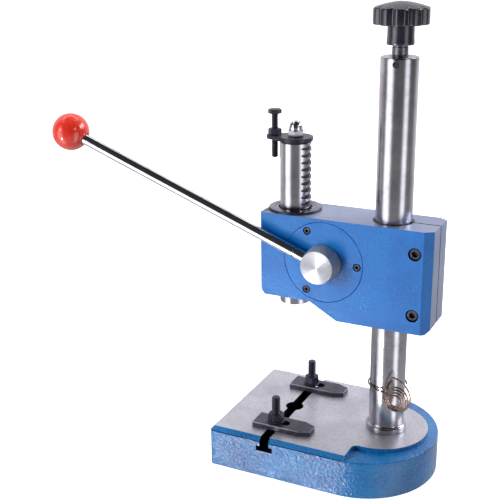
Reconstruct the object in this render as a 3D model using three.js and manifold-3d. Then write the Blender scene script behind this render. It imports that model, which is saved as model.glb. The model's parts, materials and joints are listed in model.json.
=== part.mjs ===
// Bench arbor press: cast base, round column, sliding head, rack-cut ram driven by a pinion and a lever.
// Millimetres. The ram's axis is the Z axis and the base's underside is Z = 0.
// +X runs from the operator towards the column, and the lever is on the -Y side.
import * as THREE from "three";
import { mergeVertices } from "three/addons/utils/BufferGeometryUtils.js";
import Module from "manifold-3d";

const wasm = await Module();
wasm.setup();

// ---- Driving dimensions ----------------------------------------------------------------------

const GAP = 0.1; // between fixed faces that meet
const RUN = 0.15; // radial clearance of a running fit
const FINE = 36; // sides of a large round
const MEDIUM = 24; // sides of a bush or a hub
const SMALL = 16; // sides of a small round

const BASE = {
  front: -56, arcX: 70, halfWidth: 70, rim: 36, plateau: 40, corner: 2, chamfer: 3.6,
  stepX: 77, padX: 86, padR: 45, filletR: 6,
};
const SLOT = { neck: 4.5, wing: 8, floor: 26.5, shoulder: 31.5 };
const TABLE_HOLE = { r: 8.5, floor: 20 };
const COLUMN = {
  x: 92.5, r: 16, top: 380, collarR: 18.3, collarTop: 47, spigotR: 14, spigotBottom: 20.1,
  boreR: 9, boreFloor: 70, slotHalf: 4, slotBottom: 140, slotTop: 325,
};
const COLUMN_BOLT = {
  r: 5, headR: 8, headBottom: 1, headTop: 11, top: 55, key: 8, keyDepth: 4,
  washerR: 9.6, washerTop: 12.9, pocketR: 10.5, pocketTop: 13,
};
const GRUB = { r: 2.3, z: 375, degrees: -84 };
const HEAD = {
  front: -24, back: 134.5, half: 24, top: 240, noseBottom: 162, rearBottom: 147,
  slopeStart: 24, slopeEnd: 50.5, cutX: 7.5, cutY: 5, slit: 0.8,
};
const PINION = {
  x: 37, z: 200.5, module: 2, teeth: 25, half: 10, housingR: 28, housingBack: 14, spacerR: 13,
};
const KEY = { bottom: 5, top: 10.2, half: 2.5, length: 8 };
const COVER = { r: 37, back: -16.1, screwCircle: 31.5, screwR: 2, screwHeadR: 3.3 };
const SHAFT = { r: 8, front: -35.6, back: 28, bushR: 11 };
const RING = { r: 10.5, innerR: 7.4, grooveR: 7.1, front: 25.5, back: 26.7 };
const HUB = { r: 15.4, rearR: 17, front: -40, back: -24.2, boreEnd: -36 };
const HUB_SCREW = { r: 2.4, outer: -14.4 };
const LEVER = { y: -32, r: 5, start: 8.7, ballAt: 275, ballR: 17.7, groove: 25.5, tiltDegrees: 20.8 };
const CLAMP_SCREW = { x: 119.5, zs: [164, 219.5], r: 3, headR: 5, pocketR: 5.75, pocketDepth: 7.5 };
const RAM = {
  r: 14, bottom: 151, top: 301.5, toolR: 5, toolDepth: 25, flangeR: 24, flangeInner: 15, flangeTop: 242.6,
};
const NOSE_SCREW = { r: 2.4, rise: 5.5 };
const RACK = { root: 9.7, phase: 2.4, gapsBelow: 4, gapsAbove: 15, slack: 0.15, pressureDegrees: 20 };
const STOP = { x: -20.5, plateR: 15.4, tabR: 7.5, spacerR: 14.3, spacerTop: 302.5, plateTop: 306 };
const STOP_BOLT = { r: 3, bottom: 285.5, headBottom: 325, headTop: 329, flats: 10.5, nutTop: 311.5 };
const STUD = { r: 4, bottom: 281, top: 317, nutFlats: 13, hexTop: 312, domeTop: 320.4 };
const KNOB = {
  hubR: 11.4, hubBottom: 389.6, rimBottom: 405.8, rimTop: 418.9, shoulderR: 17, shoulderTop: 422, top: 424.1,
  r: 22.3, lobe: 1.1, lobes: 10, turnDegrees: -38.5,
};
const SCREW = {
  r: 6, neckR: 6.7, collarR: 8.2, tangR: 5, bottom: 128, collarBottom: 344, collarTop: 351.7, tangTop: 410,
};
const NUT = { bottom: 184, top: 202, lugX: 70.5, lugHalf: 3.6, pocketX: 70, pocketTop: 202.3 };
const NUT_SCREW = { x: 73.5, z: 193, r: 2.4 };
const PLUG = { r: 3.9, z: 190 };
const STRAP = {
  left: -20, right: 36.5, half: 10.3, taperX: 26, tipHalf: 6, top: 45, slotLeft: -5, slotRight: 14,
};
const TBOLT = {
  y: 43, r: 4, half: 7.5, headBottom: 27, headTop: 31.2, top: 70, washerR: 8, washerTop: 46.7,
  nutFlats: 13, nutTop: 53.4,
};
const SPRING = {
  wire: 0.65, x: 15, z: 80.6, innerR: 4.2, outerR: 11.6, tall: 1.12, turns: 3.85, front: 24, rear: 19.6,
  startDegrees: 137, apexDegrees: 100, apexRise: 6.4, apexSpread: 50, wrapZ: 85, legZ: 84.6,
};

// ---- Materials -------------------------------------------------------------------------------

const material = (color, roughness, metalness) =>
  () => new THREE.MeshStandardMaterial({ color, roughness, metalness });
const bluePaint = material(0x2a78c4, 0.35, 0.2);
const groundSteel = material(0xa9a9ae, 0.3, 1);
const darkSteel = material(0x2b2b30, 0.5, 0.8);
const brightSteel = material(0xc9c9cc, 0.25, 1);
const chrome = material(0xdcdce0, 0.08, 1);
const aluminium = material(0xd4d4d6, 0.3, 1);
const bronze = material(0xb08a4a, 0.4, 1);
const blackPlastic = material(0x1d1d22, 0.4, 0);
const redPlastic = material(0xd42a1a, 0.15, 0);
const nylon = material(0xe8e4d8, 0.6, 0);

// ---- Solids ----------------------------------------------------------------------------------

function signedVolume(position, index) {
  const corner = [new THREE.Vector3(), new THREE.Vector3(), new THREE.Vector3()];
  let volume = 0;
  for (let i = 0; i < index.count; i += 3) {
    corner.forEach((point, k) => point.fromBufferAttribute(position, index.getX(i + k)));
    volume += corner[0].dot(corner[1].cross(corner[2])) / 6;
  }
  return volume;
}

// A closed three.js geometry as a manifold solid, with its faces turned outwards.
function solid(geometry) {
  const bare = geometry.clone();
  bare.deleteAttribute("normal");
  bare.deleteAttribute("uv");
  const merged = mergeVertices(bare, 1e-4);
  const triVerts = Uint32Array.from(merged.index.array);
  if (signedVolume(merged.attributes.position, merged.index) < 0) {
    for (let i = 0; i < triVerts.length; i += 3) {
      [triVerts[i], triVerts[i + 1]] = [triVerts[i + 1], triVerts[i]];
    }
  }
  const vertProperties = Float32Array.from(merged.attributes.position.array);
  return new wasm.Manifold(new wasm.Mesh({ numProp: 3, vertProperties, triVerts }));
}

function geometryOf(body) {
  const mesh = body.getMesh();
  const geometry = new THREE.BufferGeometry();
  geometry.setAttribute("position", new THREE.BufferAttribute(Float32Array.from(mesh.vertProperties), 3));
  geometry.setIndex(new THREE.BufferAttribute(Uint32Array.from(mesh.triVerts), 1));
  geometry.computeVertexNormals();
  return geometry;
}

const union = (...bodies) => bodies.reduce((whole, body) => whole.add(body));
const cut = (whole, ...bodies) => bodies.reduce((left, body) => left.subtract(body), whole);

function box([x0, x1], [y0, y1], [z0, z1]) {
  const geometry = new THREE.BoxGeometry(x1 - x0, y1 - y0, z1 - z0);
  return solid(geometry.translate((x0 + x1) / 2, (y0 + y1) / 2, (z0 + z1) / 2));
}

// Round bars along each axis; the two centre coordinates come first.
function roundZ(x, y, r, z0, z1, sides = FINE) {
  const geometry = new THREE.CylinderGeometry(r, r, z1 - z0, sides).rotateX(Math.PI / 2);
  return solid(geometry.translate(x, y, (z0 + z1) / 2));
}

function roundY(x, z, r, y0, y1, sides = FINE) {
  const geometry = new THREE.CylinderGeometry(r, r, y1 - y0, sides);
  return solid(geometry.translate(x, (y0 + y1) / 2, z));
}

function roundX(y, z, r, x0, x1, sides = SMALL) {
  const geometry = new THREE.CylinderGeometry(r, r, x1 - x0, sides).rotateZ(Math.PI / 2);
  return solid(geometry.translate((x0 + x1) / 2, y, z));
}

// A turned body about Y; the profile is [radius, distance along Y] points.
function turnedY(profile, sides = FINE) {
  const points = profile.map(([r, y]) => new THREE.Vector2(r, y));
  return solid(new THREE.LatheGeometry(points, sides));
}

// A turned body about a vertical axis; the profile is [radius, height] points.
function turned(profile, sides = FINE) {
  const points = profile.map(([r, z]) => new THREE.Vector2(r, z));
  return solid(new THREE.LatheGeometry(points, sides).rotateX(Math.PI / 2));
}

function ringZ(x, y, inner, outer, z0, z1, sides = FINE) {
  return cut(roundZ(x, y, outer, z0, z1, sides), roundZ(x, y, inner, z0 - 1, z1 + 1, sides));
}

function ringY(x, z, inner, outer, y0, y1, sides = FINE) {
  return cut(roundY(x, z, outer, y0, y1, sides), roundY(x, z, inner, y0 - 1, y1 + 1, sides));
}

function extrudeUp(shape, z0, z1, curveSegments = 24) {
  const options = { depth: z1 - z0, bevelEnabled: false, curveSegments };
  return solid(new THREE.ExtrudeGeometry(shape, options).translate(0, 0, z0));
}

// An outline drawn in X and Z, extruded along Y.
function extrudeAcross(shape, y0, y1) {
  const options = { depth: y1 - y0, bevelEnabled: false };
  const geometry = new THREE.ExtrudeGeometry(shape, options).rotateX(Math.PI / 2);
  return solid(geometry.translate(0, y1, 0));
}

function polygon(points) {
  return new THREE.Shape(points.map(([a, b]) => new THREE.Vector2(a, b)));
}

function hexagon(flats, x = 0, y = 0, turn = 0) {
  const r = flats / Math.sqrt(3);
  const corners = [0, 1, 2, 3, 4, 5].map((k) => turn + (k * Math.PI) / 3);
  return polygon(corners.map((a) => [x + r * Math.cos(a), y + r * Math.sin(a)]));
}

function part(name, body, look) {
  const mesh = new THREE.Mesh(body instanceof THREE.BufferGeometry ? body : geometryOf(body), look());
  mesh.name = name;
  return mesh;
}

// ---- Base and column -------------------------------------------------------------------------

function baseOutline() {
  const { front, arcX, halfWidth: w, corner } = BASE;
  const shape = new THREE.Shape();
  shape.moveTo(front + corner, -w);
  shape.lineTo(arcX, -w);
  shape.absarc(arcX, 0, w, -Math.PI / 2, Math.PI / 2, false);
  shape.lineTo(front + corner, w);
  shape.lineTo(front, w - corner);
  shape.lineTo(front, -w + corner);
  return shape;
}

// The raised top: full width at the front, then a fillet into a round pad about the column.
function plateauOutline() {
  const { front, arcX, halfWidth: w, corner, stepX, padX, padR, filletR } = BASE;
  const rimTurn = Math.asin((stepX - arcX) / w);
  const filletX = stepX + filletR;
  const filletY = Math.sqrt((padR + filletR) ** 2 - (padX - filletX) ** 2);
  const filletTurn = Math.atan2(filletY, padX - filletX);
  const padTurn = Math.atan2(filletY, filletX - padX);
  const shape = new THREE.Shape();
  shape.moveTo(front + corner, -w);
  shape.lineTo(arcX, -w);
  shape.absarc(arcX, 0, w, -Math.PI / 2, -Math.PI / 2 + rimTurn, false);
  shape.lineTo(stepX, -filletY);
  shape.absarc(filletX, -filletY, filletR, Math.PI, filletTurn, true);
  shape.absarc(padX, 0, padR, -padTurn, padTurn, false);
  shape.absarc(filletX, filletY, filletR, -filletTurn, -Math.PI, true);
  shape.lineTo(stepX, w * Math.cos(rimTurn));
  shape.absarc(arcX, 0, w, Math.PI / 2 - rimTurn, Math.PI / 2, false);
  shape.lineTo(front + corner, w);
  shape.lineTo(front, w - corner);
  shape.lineTo(front, -w + corner);
  return shape;
}

// The 45 degree chamfer along a straight edge that lies at X = -reach; turned, it serves the sides.
function edgeChamfer(reach, y0, y1) {
  const past = 2;
  const { plateau, chamfer } = BASE;
  return extrudeAcross(polygon([
    [-reach - past, plateau - chamfer - past], [-reach - past, plateau + past],
    [-reach + chamfer + past, plateau + past],
  ]), y0, y1);
}

function baseCasting() {
  const past = BASE.halfWidth + 1;
  const slab = extrudeUp(baseOutline(), 0, BASE.rim);
  const plateau = extrudeUp(plateauOutline(), BASE.rim - 6, BASE.plateau, 12);
  const rearEnd = BASE.stepX + 3;
  return cut(
    union(slab, plateau),
    edgeChamfer(-BASE.front, -past, past),
    edgeChamfer(BASE.halfWidth, -rearEnd, -BASE.front + 1).rotate([0, 0, 90]),
    edgeChamfer(BASE.halfWidth, BASE.front - 1, rearEnd).rotate([0, 0, -90]),
    box([-SLOT.neck, SLOT.neck], [-past, past], [SLOT.shoulder - 1, BASE.plateau + 1]),
    box([-SLOT.wing, SLOT.wing], [-past, past], [SLOT.floor, SLOT.shoulder]),
    roundZ(0, 0, TABLE_HOLE.r, TABLE_HOLE.floor, BASE.plateau + 1, SMALL),
    roundZ(COLUMN.x, 0, COLUMN.spigotR + RUN, COLUMN.spigotBottom - GAP, BASE.plateau + 1),
    roundZ(COLUMN.x, 0, COLUMN_BOLT.r + 0.5, COLUMN_BOLT.pocketTop - 1, COLUMN.spigotBottom + 1, SMALL),
    roundZ(COLUMN.x, 0, COLUMN_BOLT.pocketR, -1, COLUMN_BOLT.pocketTop, SMALL),
  );
}

function column() {
  const { r, top, collarR, collarTop, spigotR, spigotBottom, boreR, boreFloor } = COLUMN;
  const boltR = COLUMN_BOLT.r + 0.3;
  const boltTop = COLUMN_BOLT.top + 2;
  const seat = BASE.plateau + GAP;
  const bar = turned([
    [0, boltTop], [boltR, boltTop], [boltR, spigotBottom], [spigotR, spigotBottom], [spigotR, seat],
    [collarR, seat], [collarR, collarTop - 2], [r, collarTop], [r, top - 1], [r - 1, top], [boreR, top],
    [boreR, boreFloor], [0, boreFloor],
  ]);
  const slotWidth = [-COLUMN.slotHalf, COLUMN.slotHalf];
  const slot = box([-r - 1, -boreR + 2], slotWidth, [COLUMN.slotBottom, COLUMN.slotTop]);
  const grubHole = roundX(0, GRUB.z, GRUB.r + 0.3, boreR - 1, r + 1, 12);
  return cut(bar, slot, grubHole.rotate([0, 0, GRUB.degrees]));
}

function columnBolt() {
  const { r, headR, headBottom, headTop, top, key, keyDepth } = COLUMN_BOLT;
  const body = union(
    roundZ(0, 0, headR, headBottom, headTop, SMALL),
    roundZ(0, 0, r, headTop - 1, top, SMALL),
  );
  return cut(body, extrudeUp(hexagon(key), headBottom - 1, headBottom + keyDepth));
}

function columnGrubScrew() {
  const body = roundX(0, GRUB.z, GRUB.r, COLUMN.boreR + 0.2, COLUMN.r - 1, 12);
  return body.rotate([0, 0, GRUB.degrees]);
}

// The wire runs round the column, crosses its front, spirals out through the coil and ends in a hanging loop.
function columnSpringPath() {
  const { x, z, innerR, outerR, tall, turns, front, rear, startDegrees, apexDegrees, wrapZ, legZ } = SPRING;
  const points = [];
  const polar = (degrees, r) => {
    const a = THREE.MathUtils.degToRad(degrees);
    return [r * Math.cos(a), r * Math.sin(a)];
  };
  for (let degrees = 15; degrees <= 225; degrees += 17.5) {
    const [u, y] = polar(degrees, COLUMN.r + 1.3);
    points.push(new THREE.Vector3(u, y, wrapZ));
  }
  const local = (degrees, r, out) => {
    const [u, v] = polar(degrees, r);
    points.push(new THREE.Vector3(x + u, -out, z + tall * v));
  };
  points.push(new THREE.Vector3(-5, -18, legZ + 0.6), new THREE.Vector3(3.5, -21, legZ));
  const steps = Math.round(turns * 12);
  for (let k = 0; k <= steps; k += 1) {
    const share = k / steps;
    const degrees = startDegrees - 360 * turns * share;
    local(degrees, innerR + (outerR - innerR) * share, front - (front - rear) * share);
  }
  const loopStart = startDegrees - 360 * turns + 360 * Math.ceil(turns);
  const loopEnd = -65;
  const loopSteps = 20;
  for (let k = 1; k <= loopSteps; k += 1) {
    const degrees = loopStart + ((loopEnd - loopStart) * k) / loopSteps;
    const apex = SPRING.apexRise * Math.exp(-Math.abs(degrees - apexDegrees) / SPRING.apexSpread);
    local(degrees, outerR + apex, rear - 0.4);
  }
  return new THREE.CatmullRomCurve3(points, false, "centripetal");
}

function columnSpring() {
  const section = polygon([0, 1, 2, 3, 4].map((k) => {
    const a = (k * 2 * Math.PI) / 5;
    return [SPRING.wire * Math.cos(a), SPRING.wire * Math.sin(a)];
  }));
  const options = { steps: 125, extrudePath: columnSpringPath(), bevelEnabled: false };
  return new THREE.ExtrudeGeometry(section, options);
}

function standingParts() {
  const group = new THREE.Group();
  group.add(part("base_casting", baseCasting(), bluePaint));
  const post = new THREE.Group();
  post.position.x = COLUMN.x;
  const { r, headTop, washerR, washerTop } = COLUMN_BOLT;
  const bushBottom = SCREW.collarTop + 0.3;
  const bushTop = COLUMN.top - 0.5;
  post.add(
    part("column", column(), groundSteel),
    part("column_bolt", columnBolt(), darkSteel),
    part("column_bolt_washer", ringZ(0, 0, r + 0.4, washerR, headTop + GAP, washerTop, SMALL), darkSteel),
    part("screw_bushing", ringZ(0, 0, SCREW.neckR + RUN, COLUMN.boreR - RUN, bushBottom, bushTop), bronze),
    part("bushing_grub_screw", columnGrubScrew(), darkSteel),
    part("column_spring", columnSpring(), brightSteel),
  );
  group.add(post);
  return group;
}

// ---- Height screw and knob -------------------------------------------------------------------

function heightScrew() {
  const { r, neckR, collarR, tangR, bottom, collarBottom, collarTop, tangTop } = SCREW;
  const neckTop = KNOB.hubBottom - 0.4;
  return turned([
    [0, bottom], [r - 1, bottom], [r, bottom + 1], [r, collarBottom], [collarR, collarBottom],
    [collarR, collarTop], [neckR, collarTop], [neckR, neckTop], [tangR, neckTop], [tangR, tangTop],
    [0, tangTop],
  ], MEDIUM);
}

function starKnob() {
  const outline = new THREE.Shape();
  const count = KNOB.lobes * 4;
  const turn = THREE.MathUtils.degToRad(KNOB.turnDegrees);
  for (let k = 0; k < count; k += 1) {
    const a = (k / count) * 2 * Math.PI;
    const r = KNOB.r + KNOB.lobe * Math.cos(KNOB.lobes * a);
    const point = [r * Math.cos(a + turn), r * Math.sin(a + turn)];
    if (k === 0) outline.moveTo(...point);
    else outline.lineTo(...point);
  }
  const { rimBottom, rimTop, shoulderR, shoulderTop, top, hubR, hubBottom } = KNOB;
  const wide = KNOB.r + 2 * KNOB.lobe;
  const dome = turned([
    [0, rimBottom - 1], [wide, rimBottom - 1], [wide, rimTop - 0.6], [shoulderR, shoulderTop], [0, top],
  ]);
  const rim = extrudeUp(outline, rimBottom, top + 1).intersect(dome);
  const hub = roundZ(0, 0, hubR, hubBottom, rimBottom + 1, MEDIUM);
  return cut(union(rim, hub), roundZ(0, 0, SCREW.tangR + 0.3, hubBottom - 1, SCREW.tangTop + 0.5, SMALL));
}

function knobParts() {
  const group = new THREE.Group();
  group.position.x = COLUMN.x;
  group.add(part("height_screw", heightScrew(), darkSteel), part("star_knob", starKnob(), blackPlastic));
  return group;
}

// ---- Head ------------------------------------------------------------------------------------

function headOutline() {
  const { front, back, top, noseBottom, rearBottom, slopeStart, slopeEnd } = HEAD;
  return polygon([
    [front, noseBottom + 5], [front + 4, noseBottom], [slopeStart, noseBottom], [slopeEnd, rearBottom],
    [back - 4, rearBottom], [back, rearBottom + 4], [back, top], [front, top],
  ]);
}

// The plan view, with the cut corners at the clamp end.
function headPlan() {
  const { front, back, half, cutX, cutY } = HEAD;
  return polygon([
    [front, -half + 1], [front + 1, -half], [back - cutX, -half], [back, -half + cutY], [back, half - cutY],
    [back - cutX, half], [front + 1, half], [front, half - 1],
  ]);
}

function clampScrewHoles() {
  const { x, r, zs, pocketR, pocketDepth } = CLAMP_SCREW;
  return zs.map((z) => union(
    roundY(x, z, pocketR, -HEAD.half - 1, -HEAD.half + pocketDepth, SMALL),
    roundY(x, z, r + 0.3, -HEAD.half, 17, SMALL),
  ));
}

function headCasting() {
  const { half, top, back, slit } = HEAD;
  const low = HEAD.rearBottom - 1;
  const block = extrudeAcross(headOutline(), -half, half).intersect(extrudeUp(headPlan(), low, top));
  const columnR = COLUMN.r + RUN;
  const mouth = turned([[0, top - 1.5], [columnR, top - 1.5], [columnR + 2, top + 0.5], [0, top + 0.5]]);
  return cut(
    block,
    roundZ(0, 0, RAM.r + RUN, low, top + 1),
    roundZ(COLUMN.x, 0, columnR, low, top + 1),
    mouth.translate([COLUMN.x, 0, 0]),
    box([COLUMN.x, back + 1], [-slit, slit], [low, top + 1]),
    box([NUT.pocketX, COLUMN.x - 10], [-NUT.lugHalf - 0.3, NUT.lugHalf + 0.3], [low, NUT.pocketTop]),
    roundY(PINION.x, PINION.z, PINION.housingR, -half, PINION.housingBack),
    roundY(PINION.x, PINION.z, COVER.r + RUN, -half - 1, COVER.back + GAP),
    roundY(PINION.x, PINION.z, SHAFT.bushR + RUN, 0, half + 1, MEDIUM),
    ...coverScrewPlaces().map(([x, z]) => roundY(x, z, COVER.screwR + 0.2, -half, COVER.back + 9, 12)),
    roundX(0, PLUG.z, PLUG.r + 0.2, HEAD.front - 1, 0),
    roundY(NUT_SCREW.x, NUT_SCREW.z, NUT_SCREW.r + 0.2, 0, half + 1, SMALL),
    ...clampScrewHoles(),
  );
}

// A socket-head screw along Y whose head is at the lower Y.
function socketScrewY(x, z, { r, headR, headFront, headBack, tip, hex }) {
  const body = union(
    roundY(x, z, headR, headFront, headBack, SMALL),
    roundY(x, z, r, headBack - 1, tip, SMALL),
  );
  const key = extrudeAcross(hexagon(hex, x, z), headFront - 1, headFront + headR * 0.6);
  return cut(body, key);
}

function coverScrewPlaces() {
  return [0, 120, 240].map((degrees) => {
    const a = THREE.MathUtils.degToRad(degrees);
    return [PINION.x + COVER.screwCircle * Math.cos(a), PINION.z + COVER.screwCircle * Math.sin(a)];
  });
}

function pinionCover() {
  const plate = ringY(PINION.x, PINION.z, SHAFT.bushR + RUN, COVER.r, -HEAD.half, COVER.back);
  const holes = coverScrewPlaces().map(([x, z]) => union(
    roundY(x, z, COVER.screwR + 0.2, -HEAD.half - 1, COVER.back + 1, 12),
    roundY(x, z, COVER.screwHeadR + 0.3, -HEAD.half - 1, -HEAD.half + 3.6, 20),
  ));
  return cut(plate, ...holes);
}

function bushing(y0, y1) {
  return ringY(PINION.x, PINION.z, SHAFT.r + RUN, SHAFT.bushR, y0, y1, MEDIUM);
}

function lugNut() {
  const { bottom, top, lugX, lugHalf } = NUT;
  const body = union(
    roundZ(COLUMN.x, 0, COLUMN.boreR - 0.3, bottom, top, MEDIUM),
    box([lugX, COLUMN.x - 5], [-lugHalf, lugHalf], [bottom, top]),
  );
  return cut(body, roundZ(COLUMN.x, 0, SCREW.r + 0.25, bottom - 1, top + 1, MEDIUM));
}

function headParts() {
  const group = new THREE.Group();
  const { front, half, top } = HEAD;
  const washerR = SHAFT.bushR + 1;
  const thrustWasher = ringY(PINION.x, PINION.z, SHAFT.r + RUN, washerR, half + 0.2, half + 1.2, MEDIUM);
  const nutScrew = roundY(NUT_SCREW.x, NUT_SCREW.z, NUT_SCREW.r, NUT.lugHalf + 0.1, half - 1, SMALL);
  group.add(
    part("head_casting", headCasting(), bluePaint),
    part("pinion_cover", pinionCover(), bluePaint),
    part("cover_bushing", bushing(-half, COVER.back), bronze),
    part("rear_bushing", bushing(PINION.housingBack + GAP, half), bronze),
    part("rear_thrust_washer", thrustWasher, darkSteel),
    part("ram_flange", ringZ(0, 0, RAM.flangeInner, RAM.flangeR, top + GAP, RAM.flangeTop), darkSteel),
    part("height_nut", lugNut(), bronze),
    part("height_nut_screw", nutScrew, darkSteel),
    part("ram_friction_plug", roundX(0, PLUG.z, PLUG.r, front + 5, -RAM.r - 0.3), nylon),
    part("ram_friction_screw", roundX(0, PLUG.z, PLUG.r, front + 0.3, front + 4.8), darkSteel),
  );
  const coverScrew = {
    r: COVER.screwR, headR: COVER.screwHeadR, headFront: -half + 0.4, headBack: -half + 3.4,
    tip: -8, hex: 2.8,
  };
  coverScrewPlaces().forEach(([x, z], k) => {
    group.add(part(`cover_screw_${k + 1}`, socketScrewY(x, z, coverScrew), darkSteel));
  });
  const clampScrew = {
    r: CLAMP_SCREW.r, headR: CLAMP_SCREW.headR, headFront: -half + 1.2, headBack: -half + 7.2,
    tip: 15, hex: 5,
  };
  CLAMP_SCREW.zs.forEach((z, k) => {
    group.add(part(`column_clamp_screw_${k + 1}`, socketScrewY(CLAMP_SCREW.x, z, clampScrew), darkSteel));
  });
  return group;
}

// ---- Pinion shaft and lever ------------------------------------------------------------------

// An involute gear outline about the origin, turned so that a tooth enters a gap of the rack at -X.
function gearOutline() {
  const { module, teeth } = PINION;
  const pitchR = (module * teeth) / 2;
  const baseR = pitchR * Math.cos(THREE.MathUtils.degToRad(RACK.pressureDegrees));
  const involute = (r) => {
    const a = Math.acos(Math.min(1, baseR / r));
    return Math.tan(a) - a;
  };
  const halfPitchTooth = Math.PI / (2 * teeth) - RACK.slack / (2 * pitchR);
  const flank = [baseR + 0.05, pitchR, pitchR + module];
  const halfTooth = (r) => halfPitchTooth + involute(pitchR) - involute(r);
  const rootR = pitchR - 1.25 * module;
  const points = [];
  const at = (r, a) => points.push([r * Math.cos(a), r * Math.sin(a)]);
  for (let k = 0; k < teeth; k += 1) {
    const middle = Math.PI - RACK.phase / pitchR + (k * 2 * Math.PI) / teeth;
    at(rootR, middle - halfTooth(flank[0]));
    flank.forEach((r) => at(r, middle - halfTooth(r)));
    [...flank].reverse().forEach((r) => at(r, middle + halfTooth(r)));
    at(rootR, middle + halfTooth(flank[0]));
  }
  return polygon(points);
}

function pinionGear() {
  const past = PINION.half + 1;
  const keyWay = box([0, KEY.top + 0.3], [-past, past], [-KEY.half - 0.2, KEY.half + 0.2]);
  return cut(
    extrudeAcross(gearOutline(), -PINION.half, PINION.half),
    roundY(0, 0, SHAFT.r + RUN, -past, past),
    keyWay,
  );
}

function pinionShaft() {
  const { r, front, back } = SHAFT;
  const groove = ringY(0, 0, RING.grooveR, r + 1, RING.front - 0.1, RING.back + 0.1, MEDIUM);
  const seatEnd = KEY.length + 0.2;
  const keySeat = box([KEY.bottom - 0.1, r + 1], [-seatEnd, seatEnd], [-KEY.half - 0.1, KEY.half + 0.1]);
  return cut(roundY(0, 0, r, front, back, MEDIUM), groove, keySeat);
}

function retainingRing() {
  const ring = ringY(0, 0, RING.innerR, RING.r, RING.front, RING.back, MEDIUM);
  return cut(ring, box([-3, 3], [RING.front - 1, RING.back + 1], [4, RING.r + 1]));
}

function leverHub() {
  const { r, rearR, front, back, boreEnd } = HUB;
  const boss = turnedY([[0, front], [r - 1, front], [r, front + 1], [rearR, back], [0, back]]);
  return cut(
    boss,
    roundY(0, 0, SHAFT.r + RUN, boreEnd, back + 1, MEDIUM),
    roundX(LEVER.y, 0, LEVER.r + RUN, -rearR - 1, -LEVER.start + 0.3),
    roundZ(0, LEVER.y, HUB_SCREW.r + 0.3, -rearR - 1, -SHAFT.r, SMALL),
  );
}

function leverRod() {
  const { y, r, start, ballAt, groove } = LEVER;
  const rod = roundX(y, 0, r, -ballAt - 8, -start, SMALL);
  const ring = cut(
    roundX(y, 0, r + 1, -groove - 0.5, -groove + 0.5),
    roundX(y, 0, r - 0.6, -groove - 1, -groove + 1),
  );
  return cut(rod, ring);
}

function leverBall() {
  const { y, r, ballAt, ballR } = LEVER;
  const sphere = solid(new THREE.SphereGeometry(ballR, 24, 14).translate(-ballAt, y, 0));
  return cut(sphere, roundX(y, 0, r + RUN, -ballAt - 8.5, -ballAt + ballR + 1));
}

function leverParts() {
  const line = new THREE.Group();
  line.position.set(PINION.x, 0, PINION.z);
  const { half, spacerR, housingBack } = PINION;
  const shaftSpacer = (y0, y1) => ringY(0, 0, SHAFT.r + RUN, spacerR, y0, y1, MEDIUM);
  const key = box([KEY.bottom, KEY.top], [-KEY.length, KEY.length], [-KEY.half, KEY.half]);
  line.add(
    part("pinion_gear", pinionGear(), darkSteel),
    part("pinion_shaft", pinionShaft(), brightSteel),
    part("pinion_key", key, darkSteel),
    part("front_spacer", shaftSpacer(COVER.back + GAP, -half - GAP), brightSteel),
    part("rear_spacer", shaftSpacer(half + GAP, housingBack - GAP), brightSteel),
    part("shaft_retaining_ring", retainingRing(), darkSteel),
  );
  const arm = new THREE.Group();
  arm.rotation.y = THREE.MathUtils.degToRad(LEVER.tiltDegrees);
  arm.add(
    part("lever_hub", leverHub(), aluminium),
    part("hub_set_screw", roundZ(0, LEVER.y, HUB_SCREW.r, HUB_SCREW.outer, -SHAFT.r - 0.3, SMALL), darkSteel),
    part("lever_rod", leverRod(), chrome),
    part("lever_ball", leverBall(), redPlastic),
  );
  line.add(arm);
  return line;
}

// ---- Ram and depth stop ----------------------------------------------------------------------

function rackGap(z) {
  const pitchX = PINION.x - (PINION.module * PINION.teeth) / 2;
  const halfPitch = (Math.PI * PINION.module) / 4 + RACK.slack / 2;
  const slope = Math.tan(THREE.MathUtils.degToRad(RACK.pressureDegrees));
  const { root } = RACK;
  const outer = RAM.r + 1;
  const wide = halfPitch + (outer - pitchX) * slope;
  const narrow = halfPitch - (pitchX - root) * slope;
  const outline = polygon([[root, z - narrow], [outer, z - wide], [outer, z + wide], [root, z + narrow]]);
  return extrudeAcross(outline, -RAM.r, RAM.r);
}

function ramBar() {
  const { r, bottom, top, toolR, toolDepth } = RAM;
  const bar = turned([[0, bottom], [r - 1, bottom], [r, bottom + 1], [r, top], [0, top]]);
  const pitch = Math.PI * PINION.module;
  const gaps = [];
  for (let k = -RACK.gapsBelow; k <= RACK.gapsAbove; k += 1) {
    gaps.push(rackGap(PINION.z + RACK.phase + k * pitch));
  }
  return cut(
    bar,
    ...gaps,
    roundZ(0, 0, toolR, bottom - 1, bottom + toolDepth, SMALL),
    roundX(0, bottom + NOSE_SCREW.rise, NOSE_SCREW.r + 0.3, -r - 1, -toolR + 1),
    roundZ(0, 0, STUD.r + 0.3, STUD.bottom - 0.5, top + 1, SMALL),
  );
}

function stopPlate() {
  const { x, plateR, tabR, spacerTop, plateTop } = STOP;
  const low = spacerTop - 1;
  const high = plateTop + 1;
  const lean = Math.acos((plateR - tabR) / -x);
  const shape = new THREE.Shape();
  shape.absarc(0, 0, plateR, -Math.PI + lean, Math.PI - lean, false);
  shape.absarc(x, 0, tabR, Math.PI - lean, Math.PI + lean, false);
  return cut(
    extrudeUp(shape, spacerTop + GAP, plateTop, 20),
    roundZ(0, 0, STUD.r + 0.3, low, high, SMALL),
    roundZ(x, 0, STOP_BOLT.r + 0.25, low, high, SMALL),
  );
}

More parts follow.
